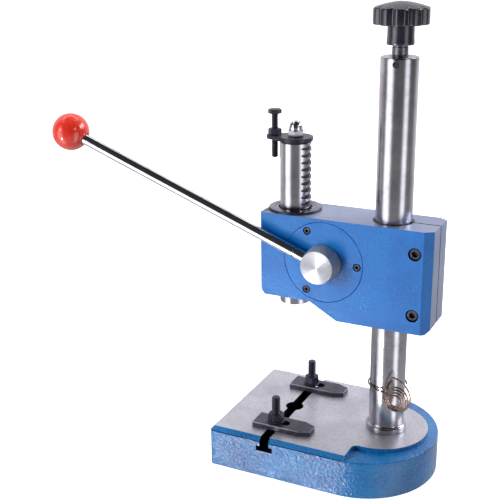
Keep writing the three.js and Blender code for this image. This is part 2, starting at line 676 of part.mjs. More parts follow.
function acornNut() {
  const { nutFlats, hexTop, domeTop, r } = STUD;
  const low = STOP.plateTop + GAP;
  const hex = extrudeUp(hexagon(nutFlats), low, hexTop);
  const dome = turned([
    [0, hexTop - 1], [6, hexTop - 1], [6, hexTop + 2], [5.4, hexTop + 5], [3.6, hexTop + 7.4], [0, domeTop],
  ], MEDIUM);
  return cut(union(hex, dome), roundZ(0, 0, r + 0.3, low - 1, STUD.top + 0.5, SMALL));
}

function stopBolt() {
  const { r, bottom, headBottom, headTop, flats } = STOP_BOLT;
  const head = extrudeUp(hexagon(flats), headBottom, headTop);
  return union(roundZ(0, 0, r, bottom, headBottom + 1, SMALL), head);
}

function stopNut() {
  const { r, flats, nutTop } = STOP_BOLT;
  const hex = extrudeUp(hexagon(flats), STOP.plateTop + GAP, nutTop);
  return cut(hex, roundZ(0, 0, r + 0.25, STOP.plateTop - 1, nutTop + 1, SMALL));
}

function ramParts() {
  const group = new THREE.Group();
  const { rise, r } = NOSE_SCREW;
  const noseScrew = roundX(0, RAM.bottom + rise, r, -RAM.r + 0.6, -RAM.toolR - 0.2);
  const stop = new THREE.Group();
  stop.position.x = STOP.x;
  stop.add(part("depth_stop_bolt", stopBolt(), darkSteel), part("depth_stop_nut", stopNut(), darkSteel));
  group.add(
    part("ram", ramBar(), groundSteel),
    part("nose_set_screw", noseScrew, darkSteel),
    part("stop_spacer", ringZ(0, 0, STUD.r + 0.3, STOP.spacerR, RAM.top + GAP, STOP.spacerTop), darkSteel),
    part("stop_plate", stopPlate(), darkSteel),
    part("ram_stud", roundZ(0, 0, STUD.r, STUD.bottom, STUD.top, SMALL), brightSteel),
    part("acorn_nut", acornNut(), chrome),
    stop,
  );
  return group;
}

// ---- Work clamps in the T-slot ---------------------------------------------------------------

function strap() {
  const { left, right, half, taperX, tipHalf, top, slotLeft, slotRight } = STRAP;
  const slotHalf = TBOLT.r + 0.4;
  const outline = polygon([
    [left, -half], [taperX, -half], [right, -tipHalf], [right, tipHalf], [taperX, half], [left, half],
  ]);
  const slot = new THREE.Path();
  slot.absarc(slotRight - slotHalf, 0, slotHalf, -Math.PI / 2, Math.PI / 2, false);
  slot.absarc(slotLeft + slotHalf, 0, slotHalf, Math.PI / 2, (3 * Math.PI) / 2, false);
  outline.holes.push(slot);
  return extrudeUp(outline, BASE.plateau + GAP / 2, top, 10);
}

function tBolt() {
  const { r, half, headBottom, headTop, top } = TBOLT;
  const head = box([-half, half], [-half, half], [headBottom, headTop]);
  return union(head, roundZ(0, 0, r, headTop - 1, top, SMALL));
}

function clampParts(number, y) {
  const { r, nutTop, nutFlats, washerR, washerTop } = TBOLT;
  const group = new THREE.Group();
  group.position.y = y;
  const nutBore = roundZ(0, 0, r + 0.25, washerTop - 1, nutTop + 1, SMALL);
  const nut = cut(extrudeUp(hexagon(nutFlats), washerTop + GAP, nutTop), nutBore);
  const washer = ringZ(0, 0, r + 0.3, washerR, STRAP.top + GAP, washerTop, SMALL);
  group.add(
    part(`clamp_strap_${number}`, strap(), darkSteel),
    part(`t_bolt_${number}`, tBolt(), darkSteel),
    part(`clamp_washer_${number}`, washer, darkSteel),
    part(`clamp_nut_${number}`, nut, darkSteel),
  );
  return group;
}

// ---- The press -------------------------------------------------------------------------------

const press = new THREE.Group();
press.add(standingParts(), knobParts(), headParts(), leverParts(), ramParts());
press.add(clampParts(1, -TBOLT.y), clampParts(2, TBOLT.y));

export default press;
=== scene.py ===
"""Looks of a bench arbor press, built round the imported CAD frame.

Lengths in the builders are in millimetres and angles in degrees, unless a name says otherwise.
"""
import json
import math
from types import SimpleNamespace

import bmesh
import bpy
from mathutils import Matrix, Vector


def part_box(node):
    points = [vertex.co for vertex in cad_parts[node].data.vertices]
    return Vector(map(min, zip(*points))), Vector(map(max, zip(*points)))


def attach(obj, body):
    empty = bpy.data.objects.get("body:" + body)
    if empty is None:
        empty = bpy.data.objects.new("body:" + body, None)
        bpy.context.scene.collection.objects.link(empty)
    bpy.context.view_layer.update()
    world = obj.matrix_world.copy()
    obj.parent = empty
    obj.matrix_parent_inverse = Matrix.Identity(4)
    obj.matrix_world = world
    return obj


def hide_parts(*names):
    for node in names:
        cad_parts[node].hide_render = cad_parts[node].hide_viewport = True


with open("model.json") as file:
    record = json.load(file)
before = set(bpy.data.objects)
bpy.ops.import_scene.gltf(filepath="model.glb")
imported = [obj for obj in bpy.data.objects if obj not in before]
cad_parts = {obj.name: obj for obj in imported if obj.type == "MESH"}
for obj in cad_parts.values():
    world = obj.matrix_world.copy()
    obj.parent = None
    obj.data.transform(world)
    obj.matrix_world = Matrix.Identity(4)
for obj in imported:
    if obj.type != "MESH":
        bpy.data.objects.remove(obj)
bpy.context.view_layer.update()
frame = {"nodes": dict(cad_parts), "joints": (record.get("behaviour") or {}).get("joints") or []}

MM = 0.001
TAU = 2 * math.pi


# ---- Frame ----

def cad(node):
    """The node's box in millimetres, with its centre and half sizes."""
    low, high = (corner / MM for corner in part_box(node))
    middle = (low + high) / 2
    half = (high - low) / 2
    return SimpleNamespace(
        x0=low.x, y0=low.y, z0=low.z, x1=high.x, y1=high.y, z1=high.z,
        cx=middle.x, cy=middle.y, cz=middle.z, rx=half.x, ry=half.y, rz=half.z,
    )


BASE = cad("base_casting")
COLUMN = cad("column")
HEAD = cad("head_casting")
COVER = cad("pinion_cover")
RAM = cad("ram")
HUB = cad("lever_hub")
BALL = cad("lever_ball")
PINION = Vector(next(j for j in frame["joints"] if j["name"] == "lever_pull")["pos_m"]) / MM

SLOT_NECK = 4.5
SLOT_WING = 8.0
SLOT_FLOOR = 26.5
SLOT_SHOULDER = 31.5
TABLE_HOLE_R = 8.5
COLUMN_R = 16.0
RAM_R = 14.0
RACK_ROOT = 9.7
RACK_MODULE = 2.0
RACK_PHASE = 2.4
PINION_TEETH = 25
PRESSURE_ANGLE = 20
LEVER_R = 5.0
M6_FLATS = 10.5
M8_FLATS = 13.0
M6_CLEARANCE_R = 3.1
M8_CLEARANCE_R = 4.3
PAST = 2


# ---- Mesh builders ----

def skin(bm, rows):
    """Joins each closed row of vertices to the next with quads."""
    for lower, upper in zip(rows, rows[1:]):
        for k in range(len(lower)):
            after = (k + 1) % len(lower)
            bm.faces.new((lower[k], lower[after], upper[after], upper[k]))


def new_object(name, bm, centre=(0, 0, 0), turn=None):
    """A piece from a bmesh in millimetres, placed by its own matrix."""
    bmesh.ops.recalc_face_normals(bm, faces=bm.faces)
    bmesh.ops.scale(bm, vec=(MM, MM, MM), verts=bm.verts)
    mesh = bpy.data.meshes.new(name)
    bm.to_mesh(mesh)
    bm.free()
    piece = bpy.data.objects.new(name, mesh)
    bpy.context.scene.collection.objects.link(piece)
    spin = turn.to_4x4() if turn else Matrix.Identity(4)
    piece.matrix_world = Matrix.Translation(Vector(centre) * MM) @ spin
    return piece


def lathe(name, profile, sides=96, **place):
    """A turned body about its own Z; the profile is (radius, height) points from axis to axis or closed."""
    bm = bmesh.new()
    rings = []
    for r, z in profile:
        count = 1 if r < 1e-6 else sides
        rings.append([bm.verts.new((r * math.cos(TAU * k / sides), r * math.sin(TAU * k / sides), z))
                      for k in range(count)])
    closed = profile[0][0] > 1e-6
    pairs = list(zip(rings, rings[1:])) + ([(rings[-1], rings[0])] if closed else [])
    for lower, upper in pairs:
        for k in range(sides):
            corners = [lower[k % len(lower)], lower[(k + 1) % len(lower)],
                       upper[(k + 1) % len(upper)], upper[k % len(upper)]]
            unique = list(dict.fromkeys(corners))
            if len(unique) > 2:
                bm.faces.new(unique)
    return new_object(name, bm, **place)


def prism(name, outline, low, high, **place):
    """A flat outline of (x, y) points raised from low to high."""
    bm = bmesh.new()
    floor = [bm.verts.new((x, y, low)) for x, y in outline]
    roof = [bm.verts.new((x, y, high)) for x, y in outline]
    bm.faces.new(floor[::-1])
    bm.faces.new(roof)
    skin(bm, [floor, roof])
    return new_object(name, bm, **place)


def block(x, y, z):
    """A plain box between the given limits, used to cut with."""
    outline = [(x[0], y[0]), (x[1], y[0]), (x[1], y[1]), (x[0], y[1])]
    return prism("cutter", outline, *z)


def rod(axis, a, b, r, low, high, sides=96):
    """A plain round bar along X, Y or Z through the point (a, b) of the other two axes, used to cut with."""
    centre, turn = {"X": ((0, a, b), TO_X), "Y": ((a, 0, b), TO_Y), "Z": ((a, b, 0), None)}[axis]
    return lathe("cutter", [(0, low), (r, low), (r, high), (0, high)], sides, centre=centre, turn=turn)


TO_Y = Matrix.Rotation(-math.pi / 2, 3, "X")
TO_X = Matrix.Rotation(math.pi / 2, 3, "Y")


def along(direction):
    """The turn that lays a lathe's axis along a unit vector."""
    return Vector((0, 0, 1)).rotation_difference(direction).to_matrix()


def settle(piece):
    """Applies the piece's modifiers to its mesh."""
    bpy.context.view_layer.update()
    depsgraph = bpy.context.evaluated_depsgraph_get()
    mesh = bpy.data.meshes.new_from_object(piece.evaluated_get(depsgraph))
    piece.modifiers.clear()
    piece.data = mesh
    return piece


def combine(piece, operation, others):
    for other in others:
        step = piece.modifiers.new("step", "BOOLEAN")
        step.operation = operation
        step.solver = "EXACT"
        step.object = other
    settle(piece)
    for other in others:
        bpy.data.objects.remove(other)
    return piece


def cut(piece, *others):
    return combine(piece, "DIFFERENCE", others)


def join(piece, *others):
    return combine(piece, "UNION", others)


def keep_inside(piece, *others):
    return combine(piece, "INTERSECT", others)


def soften(piece, width, segments=3, angle=32):
    """Rounds the piece's hard edges by width."""
    bm = bmesh.new()
    bm.from_mesh(piece.data)
    bmesh.ops.remove_doubles(bm, verts=bm.verts, dist=1e-6)
    bmesh.ops.dissolve_degenerate(bm, edges=bm.edges, dist=2e-6)
    bm.to_mesh(piece.data)
    bm.free()
    step = piece.modifiers.new("soften", "BEVEL")
    step.width = width * MM
    step.segments = segments
    step.limit_method = "ANGLE"
    step.angle_limit = math.radians(angle)
    step.use_clamp_overlap = True
    step.miter_outer = "MITER_ARC"
    return settle(piece)


def smooth(piece, angle=35):
    piece.data.shade_smooth()
    piece.data.set_sharp_from_angle(angle=math.radians(angle))
    step = piece.modifiers.new("normals", "WEIGHTED_NORMAL")
    step.keep_sharp = True
    settle(piece)


def round_edges(piece, width, segments=3, angle=32):
    """Rounds the piece's hard edges, then smooths its shading."""
    smooth(soften(piece, width, segments, angle))


def mirrored(points):
    """The same points on the other side of Y = 0, in the order that closes the outline."""
    return [(x, -y) for x, y in reversed(points)]


def arc(cx, cy, r, start, end, steps):
    """Points on a circle from start to end, in degrees."""
    turns = [math.radians(start + (end - start) * k / steps) for k in range(steps + 1)]
    return [(cx + r * math.cos(a), cy + r * math.sin(a)) for a in turns]


def hexagon(flats, turn=0.0):
    return [(x, y) for x, y in arc(0, 0, flats / math.sqrt(3), turn, turn + 300, 5)]


def threaded(name, r, pitch, low, high, **place):
    """A bar with a helical thread of outer radius r."""
    sides, per_turn = 40, 6
    depth = 0.6 * pitch
    chamfer = 0.9
    count = max(2, int((high - low) / pitch * per_turn))
    rows = []
    bm = bmesh.new()
    for i in range(count + 1):
        z = low + (high - low) * i / count
        ends = min(z - low, high - z)
        row = []
        for k in range(sides):
            a = TAU * k / sides
            phase = (z / pitch - k / sides) % 1.0
            groove = depth * abs(2 * phase - 1)
            radius = min(r - groove, r - max(0.0, chamfer - ends))
            row.append(bm.verts.new((radius * math.cos(a), radius * math.sin(a), z)))
        rows.append(row)
    skin(bm, rows)
    bm.faces.new(rows[0][::-1])
    bm.faces.new(rows[-1])
    return new_object(name, bm, **place)


# ---- Materials ----

class Nodes:
    """Short calls for the nodes that the finishes and the world share."""

    def __init__(self, tree, coords):
        self.tree = tree
        self.coords = self.node("ShaderNodeTexCoord").outputs[coords]

    def node(self, kind, **inputs):
        made = self.tree.nodes.new(kind)
        for socket, value in inputs.items():
            self.feed(made.inputs[socket.replace("_", " ")], value)
        return made

    def feed(self, socket, value):
        if isinstance(value, bpy.types.NodeSocket):
            self.tree.links.new(value, socket)
        else:
            socket.default_value = value

    def stretched(self, scale):
        mapping = self.node("ShaderNodeMapping", Vector=self.coords)
        mapping.inputs["Scale"].default_value = scale
        return mapping.outputs["Vector"]

    def noise(self, scale, detail=3.0, roughness=0.55, vector=None):
        made = self.node("ShaderNodeTexNoise", Vector=vector or self.coords, Scale=scale, Detail=detail)
        made.inputs["Roughness"].default_value = roughness
        return made.outputs["Fac"]

    def cells(self, scale):
        made = self.node("ShaderNodeTexVoronoi", Vector=self.coords, Scale=scale)
        made.feature = "SMOOTH_F1"
        return made.outputs["Distance"]

    def ramp(self, factor, low, high, stops=(0.35, 0.65), easing="LINEAR"):
        made = self.node("ShaderNodeMapRange", Value=factor)
        made.interpolation_type = easing
        for socket, value in zip(("From Min", "From Max", "To Min", "To Max"), (*stops, low, high)):
            made.inputs[socket].default_value = value
        return made.outputs["Result"]

    def blend(self, factor, first, second):
        made = self.tree.nodes.new("ShaderNodeMix")
        made.data_type = "RGBA"
        self.feed(made.inputs[0], factor)
        self.feed(made.inputs[6], first)
        self.feed(made.inputs[7], second)
        return made.outputs[2]

    def math(self, operation, first, second=0.0):
        made = self.tree.nodes.new("ShaderNodeMath")
        made.operation = operation
        self.feed(made.inputs[0], first)
        self.feed(made.inputs[1], second)
        return made.outputs[0]

    def parts(self, vector):
        made = self.node("ShaderNodeSeparateXYZ", Vector=vector)
        return [made.outputs[axis] for axis in "XYZ"]


class Surface(Nodes):
    """A Principled material."""

    def __init__(self, name, **values):
        self.material = bpy.data.materials.new(name)
        self.material.use_nodes = True
        super().__init__(self.material.node_tree, "Object")
        self.shader = next(n for n in self.tree.nodes if n.type == "BSDF_PRINCIPLED")
        for socket, value in values.items():
            self.shader.inputs[socket.replace("_", " ")].default_value = value

    def worn_and_highlit_edges(self, start, end):
        """1 on convex edges, 0 elsewhere, broken up by noise."""
        point = self.node("ShaderNodeNewGeometry").outputs["Pointiness"]
        edge = self.ramp(point, 0.0, 1.0, (start, end))
        return self.math("MULTIPLY", edge, self.ramp(self.noise(400.0), 0.0, 1.0, (0.4, 0.6)))

    def set(self, socket, value):
        self.feed(self.shader.inputs[socket], value)

    def finished(self, tone, roughness, height, strength, distance):
        """Sets the colour, the roughness and the bump, and gives the material."""
        bump = self.node("ShaderNodeBump", Height=height, Strength=strength, Distance=distance)
        self.set("Base Color", tone)
        self.set("Roughness", roughness)
        self.set("Normal", bump.outputs["Normal"])
        self.set("Coat Normal", bump.outputs["Normal"])
        return self.material


def rgb(red, green, blue):
    """A colour given as sRGB bytes, as linear RGBA."""
    def linear(value):
        share = value / 255
        return share / 12.92 if share <= 0.04045 else ((share + 0.055) / 1.055) ** 2.4
    return (linear(red), linear(green), linear(blue), 1.0)


def hammered_enamel(name, grain, depth, glint_share, tones, **values):
    """Paint with a hammered skin; the tones are its darker tone, its body, its painted glints (light flecks)
    and its worn places.
    """
    deep, fresh, glint, worn = (rgb(*tone) for tone in tones)
    look = Surface(name, **values)
    blotch = look.ramp(look.noise(28.0, 4.0), 0.0, 1.0, (0.35, 0.7))
    tone = look.blend(blotch, deep, fresh)
    # Painted glints: small light flecks stand in for the hammered relief catching the light.
    painted_glints = look.ramp(look.noise(1500.0 * grain, 2.0), 0.0, glint_share, (0.56, 0.74))
    tone = look.blend(painted_glints, tone, glint)
    dirt = look.ramp(look.noise(9.0, 5.0), 0.25, 0.0, (0.3, 0.6))
    tone = look.blend(dirt, tone, worn)
    dimples = look.cells(520.0 * grain)
    orange = look.noise(900.0 * grain, 2.0)
    height = look.math("ADD", dimples, look.math("MULTIPLY", orange, 0.8))
    return look.finished(tone, look.ramp(look.noise(420.0), 0.26, 0.42), height, depth, 0.0012)


def machined_iron(name="machined_iron", low=(190, 188, 199), high=(220, 218, 227)):
    """Planed iron with clouds, stains, pits and scratches that run along X."""
    look = Surface(name, Metallic=0.7)
    cloud = look.ramp(look.noise(24.0, 6.0), 0.0, 1.0, (0.3, 0.7))
    tone = look.blend(cloud, rgb(*low), rgb(*high))
    stain = look.ramp(look.noise(60.0, 8.0, 0.7), 0.0, 0.55, (0.6, 0.8))
    tone = look.blend(stain, tone, rgb(132, 128, 134))
    grain = look.ramp(look.noise(300.0, 4.0, 0.65), 0.0, 0.4, (0.48, 0.7))
    tone = look.blend(grain, tone, rgb(152, 150, 160))
    pits = look.ramp(look.noise(900.0, 2.0), 0.0, 0.5, (0.68, 0.74))
    tone = look.blend(pits, tone, rgb(110, 108, 112))
    lay = look.noise(60.0, 6.0, 0.6, look.stretched((1.0, 45.0, 1.0)))
    scratches = look.noise(90.0, 4.0, 0.6, look.stretched((1.0, 14.0, 1.0)))
    height = look.math("ADD", lay, scratches)
    return look.finished(tone, look.ramp(lay, 0.3, 0.42), height, 0.14, 0.0004)


def ground_steel(name="ground_steel", light=(198, 196, 202), dark=(164, 162, 170), rough=(0.2, 0.25)):
    """Steel ground round its own Z, with fine rings and faint stains."""
    look = Surface(name, Metallic=1.0)
    rings = look.noise(30.0, 8.0, 0.65, look.stretched((1.0, 1.0, 60.0)))
    stain = look.ramp(look.noise(45.0, 6.0, 0.65), 0.0, 1.0, (0.42, 0.75))
    tone = look.blend(stain, rgb(*light), rgb(*dark))
    return look.finished(tone, look.ramp(rings, *rough), rings, 0.02, 0.0003)


def black_oxide(name, tones):
    """Oiled black steel; the third tone is where handling has rubbed it."""
    dark, light, rubbed = (rgb(*tone) for tone in tones)
    look = Surface(name, Metallic=0.45)
    tone = look.blend(look.ramp(look.noise(70.0, 5.0), 0.0, 1.0), dark, light)
    tone = look.blend(look.ramp(look.noise(240.0, 6.0, 0.7), 0.0, 0.8, (0.6, 0.75)), tone, rubbed)
    roughness = look.ramp(look.noise(300.0, 4.0), 0.26, 0.38)
    return look.finished(tone, roughness, look.noise(1400.0, 3.0), 0.08, 0.0003)


def turned_aluminium(name="turned_aluminium", metallic=1.0):
    """Bright metal with the rings of a lathe tool round its own Z."""
    look = Surface(name, Metallic=metallic, Anisotropic=0.8, Anisotropic_Rotation=0.25)
    x, y, _ = look.parts(look.coords)
    squares = look.math("ADD", look.math("MULTIPLY", x, x), look.math("MULTIPLY", y, y))
    reach = look.math("POWER", squares, 0.5)
    rings = look.math("SINE", look.math("MULTIPLY", reach, 9000.0))
    uneven = look.noise(2400.0, 2.0)
    groove = look.math("ADD", rings, uneven)
    tone = look.blend(look.ramp(look.noise(150.0, 4.0), 0.0, 1.0), rgb(158, 159, 166), rgb(176, 177, 183))
    tangent = look.node("ShaderNodeTangent")
    tangent.direction_type = "RADIAL"
    tangent.axis = "Z"
    look.set("Tangent", tangent.outputs["Tangent"])
    return look.finished(tone, look.ramp(uneven, 0.32, 0.38), groove, 0.03, 0.00015)


def plain_finish(name, clouds, stops, tones, polish, shine, relief, lift, **values):
    """Two tones in clouds. Clouds, polish and relief are noises, each by scale and detail."""
    look = Surface(name, **values)
    tone = look.blend(look.ramp(look.noise(*clouds), 0.0, 1.0, stops), *(rgb(*tone) for tone in tones))
    return look.finished(tone, look.ramp(look.noise(*polish), *shine), look.noise(*relief), lift, 0.0003)


def black_plastic():
    look = Surface("black_plastic", Specular_IOR_Level=1.0)
    cloud = look.ramp(look.noise(80.0, 4.0), 0.0, 1.0)
    tone = look.blend(cloud, rgb(28, 27, 38), rgb(42, 41, 54))
    # Lighter convex edges: partly wear, partly a painted highlight along the flutes' edges.
    tone = look.blend(look.worn_and_highlit_edges(0.56, 0.68), tone, rgb(84, 83, 98))
    roughness = look.ramp(look.noise(350.0, 3.0), 0.17, 0.28)
    return look.finished(tone, roughness, look.noise(2200.0, 2.0), 0.05, 0.0002)


def floor_paint():
    look = Surface("studio_floor")
    look.set("Base Color", look.blend(look.noise(2.0), (0.86, 0.86, 0.87, 1), (0.9, 0.9, 0.9, 1)))
    look.shader.inputs["Emission Color"].default_value = (1, 1, 1, 1)
    look.shader.inputs["Emission Strength"].default_value = 0.8
    look.set("Roughness", look.ramp(look.noise(30.0), 0.7, 0.85))
    return look.material


HEAD_ENAMEL = hammered_enamel(
    "blue_enamel", 1.2, 0.08, 0.4, [(0, 98, 180), (6, 116, 198), (78, 156, 218), (4, 78, 146)],
    Metallic=0.1, Coat_Weight=0.2, Coat_Roughness=0.14)
BASE_ENAMEL = hammered_enamel(
    "blue_enamel_base", 0.8, 0.55, 0.4, [(6, 94, 160), (22, 124, 192), (120, 196, 228), (4, 66, 118)],
    Metallic=0.0, Specular_IOR_Level=0.12, Coat_Weight=1.0, Coat_Roughness=0.09)
IRON = machined_iron()
HEAD_IRON = machined_iron("machined_head", (150, 160, 196), (176, 186, 214))
STEEL = ground_steel()
RAM_STEEL = ground_steel("ram_steel", (202, 200, 206), (168, 166, 174), (0.2, 0.26))
GEAR_STEEL = ground_steel("gear_steel", (132, 129, 136), (98, 95, 102), (0.3, 0.42))
# Near-black steel, painted shade in slots, holes and grooves.
RECESS_SHADE_STEEL = ground_steel("recess_shade_steel", (52, 50, 58), (34, 32, 38), (0.4, 0.5))
FLANGE_STEEL = ground_steel("flange_steel", (150, 148, 168), (120, 118, 138), (0.12, 0.2))
WIRE = ground_steel("spring_wire", (140, 120, 112), (78, 62, 58), (0.15, 0.25))
NUT_STEEL = ground_steel("nut_steel", (156, 154, 162), (120, 118, 126), (0.16, 0.24))
BLACK = black_oxide("black_oxide", [(44, 43, 54), (70, 69, 84), (116, 116, 130)])
STRAP_BLACK = black_oxide("strap_oxide", [(56, 55, 68), (84, 83, 98), (126, 126, 140)])
# Light black oxide, a painted highlight for the straps' upward-facing bevels.
STRAP_EDGE_HIGHLIGHT = black_oxide("strap_edge_highlight", [(128, 127, 138), (176, 175, 186), (206, 206, 214)])
ALUMINIUM = turned_aluminium()
HUB_SIDE = turned_aluminium("hub_side", 0.5)
PLASTIC = black_plastic()
CHROME = plain_finish(
    "chrome", (90.0, 6.0), (0.4, 0.7), [(232, 232, 236), (205, 205, 212)], (260.0, 5.0), (0.05, 0.13),
    (500.0, 3.0), 0.02, Metallic=1.0)
RED = plain_finish(
    "red_ball", (55.0, 3.0), (0.3, 0.7), [(220, 46, 30), (234, 62, 42)], (240.0, 6.0), (0.16, 0.3),
    (700.0, 2.0), 0.03, Coat_Weight=0.7, Coat_Roughness=0.05)
BRONZE = plain_finish(
    "bronze", (70.0, 5.0), (0.35, 0.65), [(176, 132, 74), (146, 104, 58)], (260.0, 3.0), (0.28, 0.42),
    (900.0, 3.0), 0.08, Metallic=1.0)
NYLON = plain_finish(
    "nylon", (60.0, 3.0), (0.0, 1.0), [(236, 232, 220), (214, 208, 192)], (300.0, 3.0), (0.45, 0.6),
    (800.0, 3.0), 0.1, Subsurface_Weight=0.1)


# ---- Finishing a piece ----

def finish(piece, body, slot, looks, *nodes):
    """The piece gets its looks, rides on its body and stands for its CAD nodes."""
    for look in looks if isinstance(looks, list) else [looks]:
        piece.data.materials.append(look)
    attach(piece, body)
    if nodes:
        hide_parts(*nodes)


def blacken(piece, body, *nodes):
    finish(piece, body, "black_oxide", BLACK, *nodes)


def paint_faces(piece, index, chosen):
    """Gives the material slot to the faces chosen by their centre in millimetres and their normal."""
    turn = piece.matrix_world.to_3x3()
    for face in piece.data.polygons:
        centre = piece.matrix_world @ face.center / MM
        if chosen(centre, (turn @ face.normal).normalized()):
            face.material_index = index


# ---- Base ----

RIM_Z = BASE.z1 - 4
ARC_X = BASE.x1 - BASE.ry
STEP_X = 77.0
PAD_X = 86.0
PAD_R = 45.0
FILLET_R = 6.0
CHAMFER = 3.6
GROOVE = 0.9
SPIGOT_R = 14.0


def base_outline(inset=0.0):
    half = BASE.ry - inset
    front = BASE.x0 + inset
    return (arc(front + 3, -half + 3, 3, 180, 270, 6) + arc(ARC_X, 0, half, -90, 90, 72)
            + arc(front + 3, half - 3, 3, 90, 180, 6))


def plateau_outline():
    """The machined top: full width at the front, then a fillet into a round pad about the column."""
    half = BASE.ry
    front = BASE.x0
    fillet_x = STEP_X + FILLET_R
    fillet_y = math.sqrt((PAD_R + FILLET_R) ** 2 - (PAD_X - fillet_x) ** 2)
    fillet_end = math.degrees(math.atan2(fillet_y, PAD_X - fillet_x))
    pad_end = math.degrees(math.atan2(fillet_y, fillet_x - PAD_X))
    rim_end = math.degrees(math.asin((STEP_X - ARC_X) / half))
    lower = (arc(front + 3, -half + 3, 3, 180, 270, 6) + arc(ARC_X, 0, half, -90, -90 + rim_end, 4)
             + arc(fillet_x, -fillet_y, FILLET_R, 180, fillet_end, 12))
    pad = arc(PAD_X, 0, PAD_R, -pad_end, pad_end, 72)
    return lower + pad[1:-1] + mirrored(lower)


def edge_wedge(reach, half_long, degrees):
    """What the top's 45 degree chamfer takes off along X = -reach, turned about Z for the other sides."""
    outline = [(-reach - PAST, BASE.z1 - CHAMFER - PAST), (-reach + CHAMFER + PAST, BASE.z1 + PAST),
               (-reach - PAST, BASE.z1 + PAST)]
    turn = Matrix.Rotation(math.radians(degrees), 3, "Z") @ Matrix.Rotation(math.pi / 2, 3, "X")
    return prism("cutter", outline, -half_long, half_long, turn=turn)


def base_casting():
    piece = prism("base_body", base_outline(), 0, RIM_Z)
    soften(piece, 1.6, 4)
    piece = join(piece, prism("plateau", plateau_outline(), RIM_Z - 6, BASE.z1))
    past = BASE.ry + PAST
    top = BASE.z1 + PAST
    hole_floor = 20
    bolt_r = 5.5
    pocket_r, pocket_top = 10.5, 13
    ledge = (RIM_Z - 0.5, RIM_Z + 0.4)
    along = (BASE.x0 - PAST, STEP_X - 0.5)
    cut(
        piece,
        edge_wedge(-BASE.x0, past, 0),
        edge_wedge(BASE.ry, past + 10, 90),
        edge_wedge(BASE.ry, past + 10, -90),
        block((BASE.x0 - PAST, BASE.x0 + GROOVE), (-past, past), ledge),
        block(along, (-past, GROOVE - BASE.ry), ledge),
        block(along, (BASE.ry - GROOVE, past), ledge),
        block((-SLOT_NECK, SLOT_NECK), (-past, past), (SLOT_SHOULDER - 1, top)),
        block((-SLOT_WING, SLOT_WING), (-past, past), (SLOT_FLOOR, SLOT_SHOULDER)),
        rod("Z", 0, 0, TABLE_HOLE_R, hole_floor, top),
        rod("Z", COLUMN.cx, 0, SPIGOT_R + 0.2, hole_floor, top),
        rod("Z", COLUMN.cx, 0, pocket_r, -PAST, pocket_top),
        rod("Z", COLUMN.cx, 0, bolt_r, pocket_top - 3, hole_floor + 2),
    )
    round_edges(piece, 0.3, 2, 40)
    inside = BASE.z1 - 0.6
    paint_faces(piece, 1, lambda c, n: n.z > 0.95 and c.z > BASE.z1 - 0.3)
    # Painted shade: the T-slot's walls and floor and the table hole get near-black steel.
    paint_faces(piece, 2, lambda c, n: abs(c.x) < SLOT_WING + 0.2 and SLOT_FLOOR - 0.3 < c.z < inside
                and abs(c.y) < BASE.ry - 0.6)
    paint_faces(piece, 2, lambda c, n: math.hypot(c.x, c.y) < TABLE_HOLE_R + 0.1 and 10 < c.z < inside)
    paint_faces(piece, 1, lambda c, n: c.z < 0.2)
    # Painted shadow line: the thin groove ledge at the foot of the top's chamfer gets near-black steel.
    paint_faces(piece, 2, lambda c, n: abs(c.z - RIM_Z) < 0.7 and c.x < STEP_X - 0.6
                and (n.z > 0.6 or n.z < -0.6 or c.x < BASE.x0 + 1.2 or abs(c.y) > BASE.ry - 1.2)
                and not (abs(c.y) > BASE.ry - 0.1 or c.x < BASE.x0 + 0.1))
    finish(piece, "base", "blue_enamel", [BASE_ENAMEL, IRON, RECESS_SHADE_STEEL], "base_casting")


# ---- Column ----

def column():
    seat = BASE.z1 + 0.1
    top = COLUMN.z1
    collar = COLUMN.rx
    bore, bore_floor = 9.0, 70
    bolt_r, bolt_end = 5.3, 57
    spigot_end = 20.2
    slot_half, slot_low, slot_high = 4, 140, 325
    grub_r, inside_wall = 2.7, 7
    foot = [
        (0, bolt_end), (bolt_r, bolt_end), (bolt_r, spigot_end), (SPIGOT_R, spigot_end), (SPIGOT_R, seat),
        (collar - 0.5, seat), (collar, seat + 0.5), (collar, seat + 4.2), (collar - 0.3, seat + 4.9),
        (collar - 0.9, seat + 5.4), (COLUMN_R + 0.5, seat + 5.9), (COLUMN_R + 0.1, seat + 6.6),
        (COLUMN_R, seat + 7.4),
    ]
    end = [
        (COLUMN_R, 150), (COLUMN_R, 260), (COLUMN_R, top - 1.2), (COLUMN_R - 0.35, top - 0.35),
        (COLUMN_R - 1.2, top), (bore + 0.8, top), (bore, top - 0.8), (bore, bore_floor), (0, bore_floor),
    ]
    piece = lathe("column_bar", foot + end, 128, centre=(COLUMN.cx, 0, 0))
    grub = cad("bushing_grub_screw")
    out = Vector((grub.cx - COLUMN.cx, grub.cy, 0)).normalized()
    outside = COLUMN_R + 3
    hole = lathe("cutter", [(0, inside_wall), (grub_r, inside_wall), (grub_r, outside), (0, outside)], 48,
                 centre=(COLUMN.cx, 0, grub.cz), turn=along(out))
    slot = block((COLUMN.cx - COLUMN_R - PAST, COLUMN.cx - inside_wall), (-slot_half, slot_half),
                 (slot_low, slot_high))
    cut(piece, slot, hole)
    smooth(piece)
    # Painted shade: faces inside the column's skin, such as the bore, the slot and the grub hole, get
    # near-black steel.
    paint_faces(piece, 1, lambda c, n: math.hypot(c.x - COLUMN.cx, c.y) < COLUMN_R - 0.3 and c.z < top - 0.5)
    finish(piece, "base", "ground_steel", [STEEL, RECESS_SHADE_STEEL], "column")


# ---- Head ----

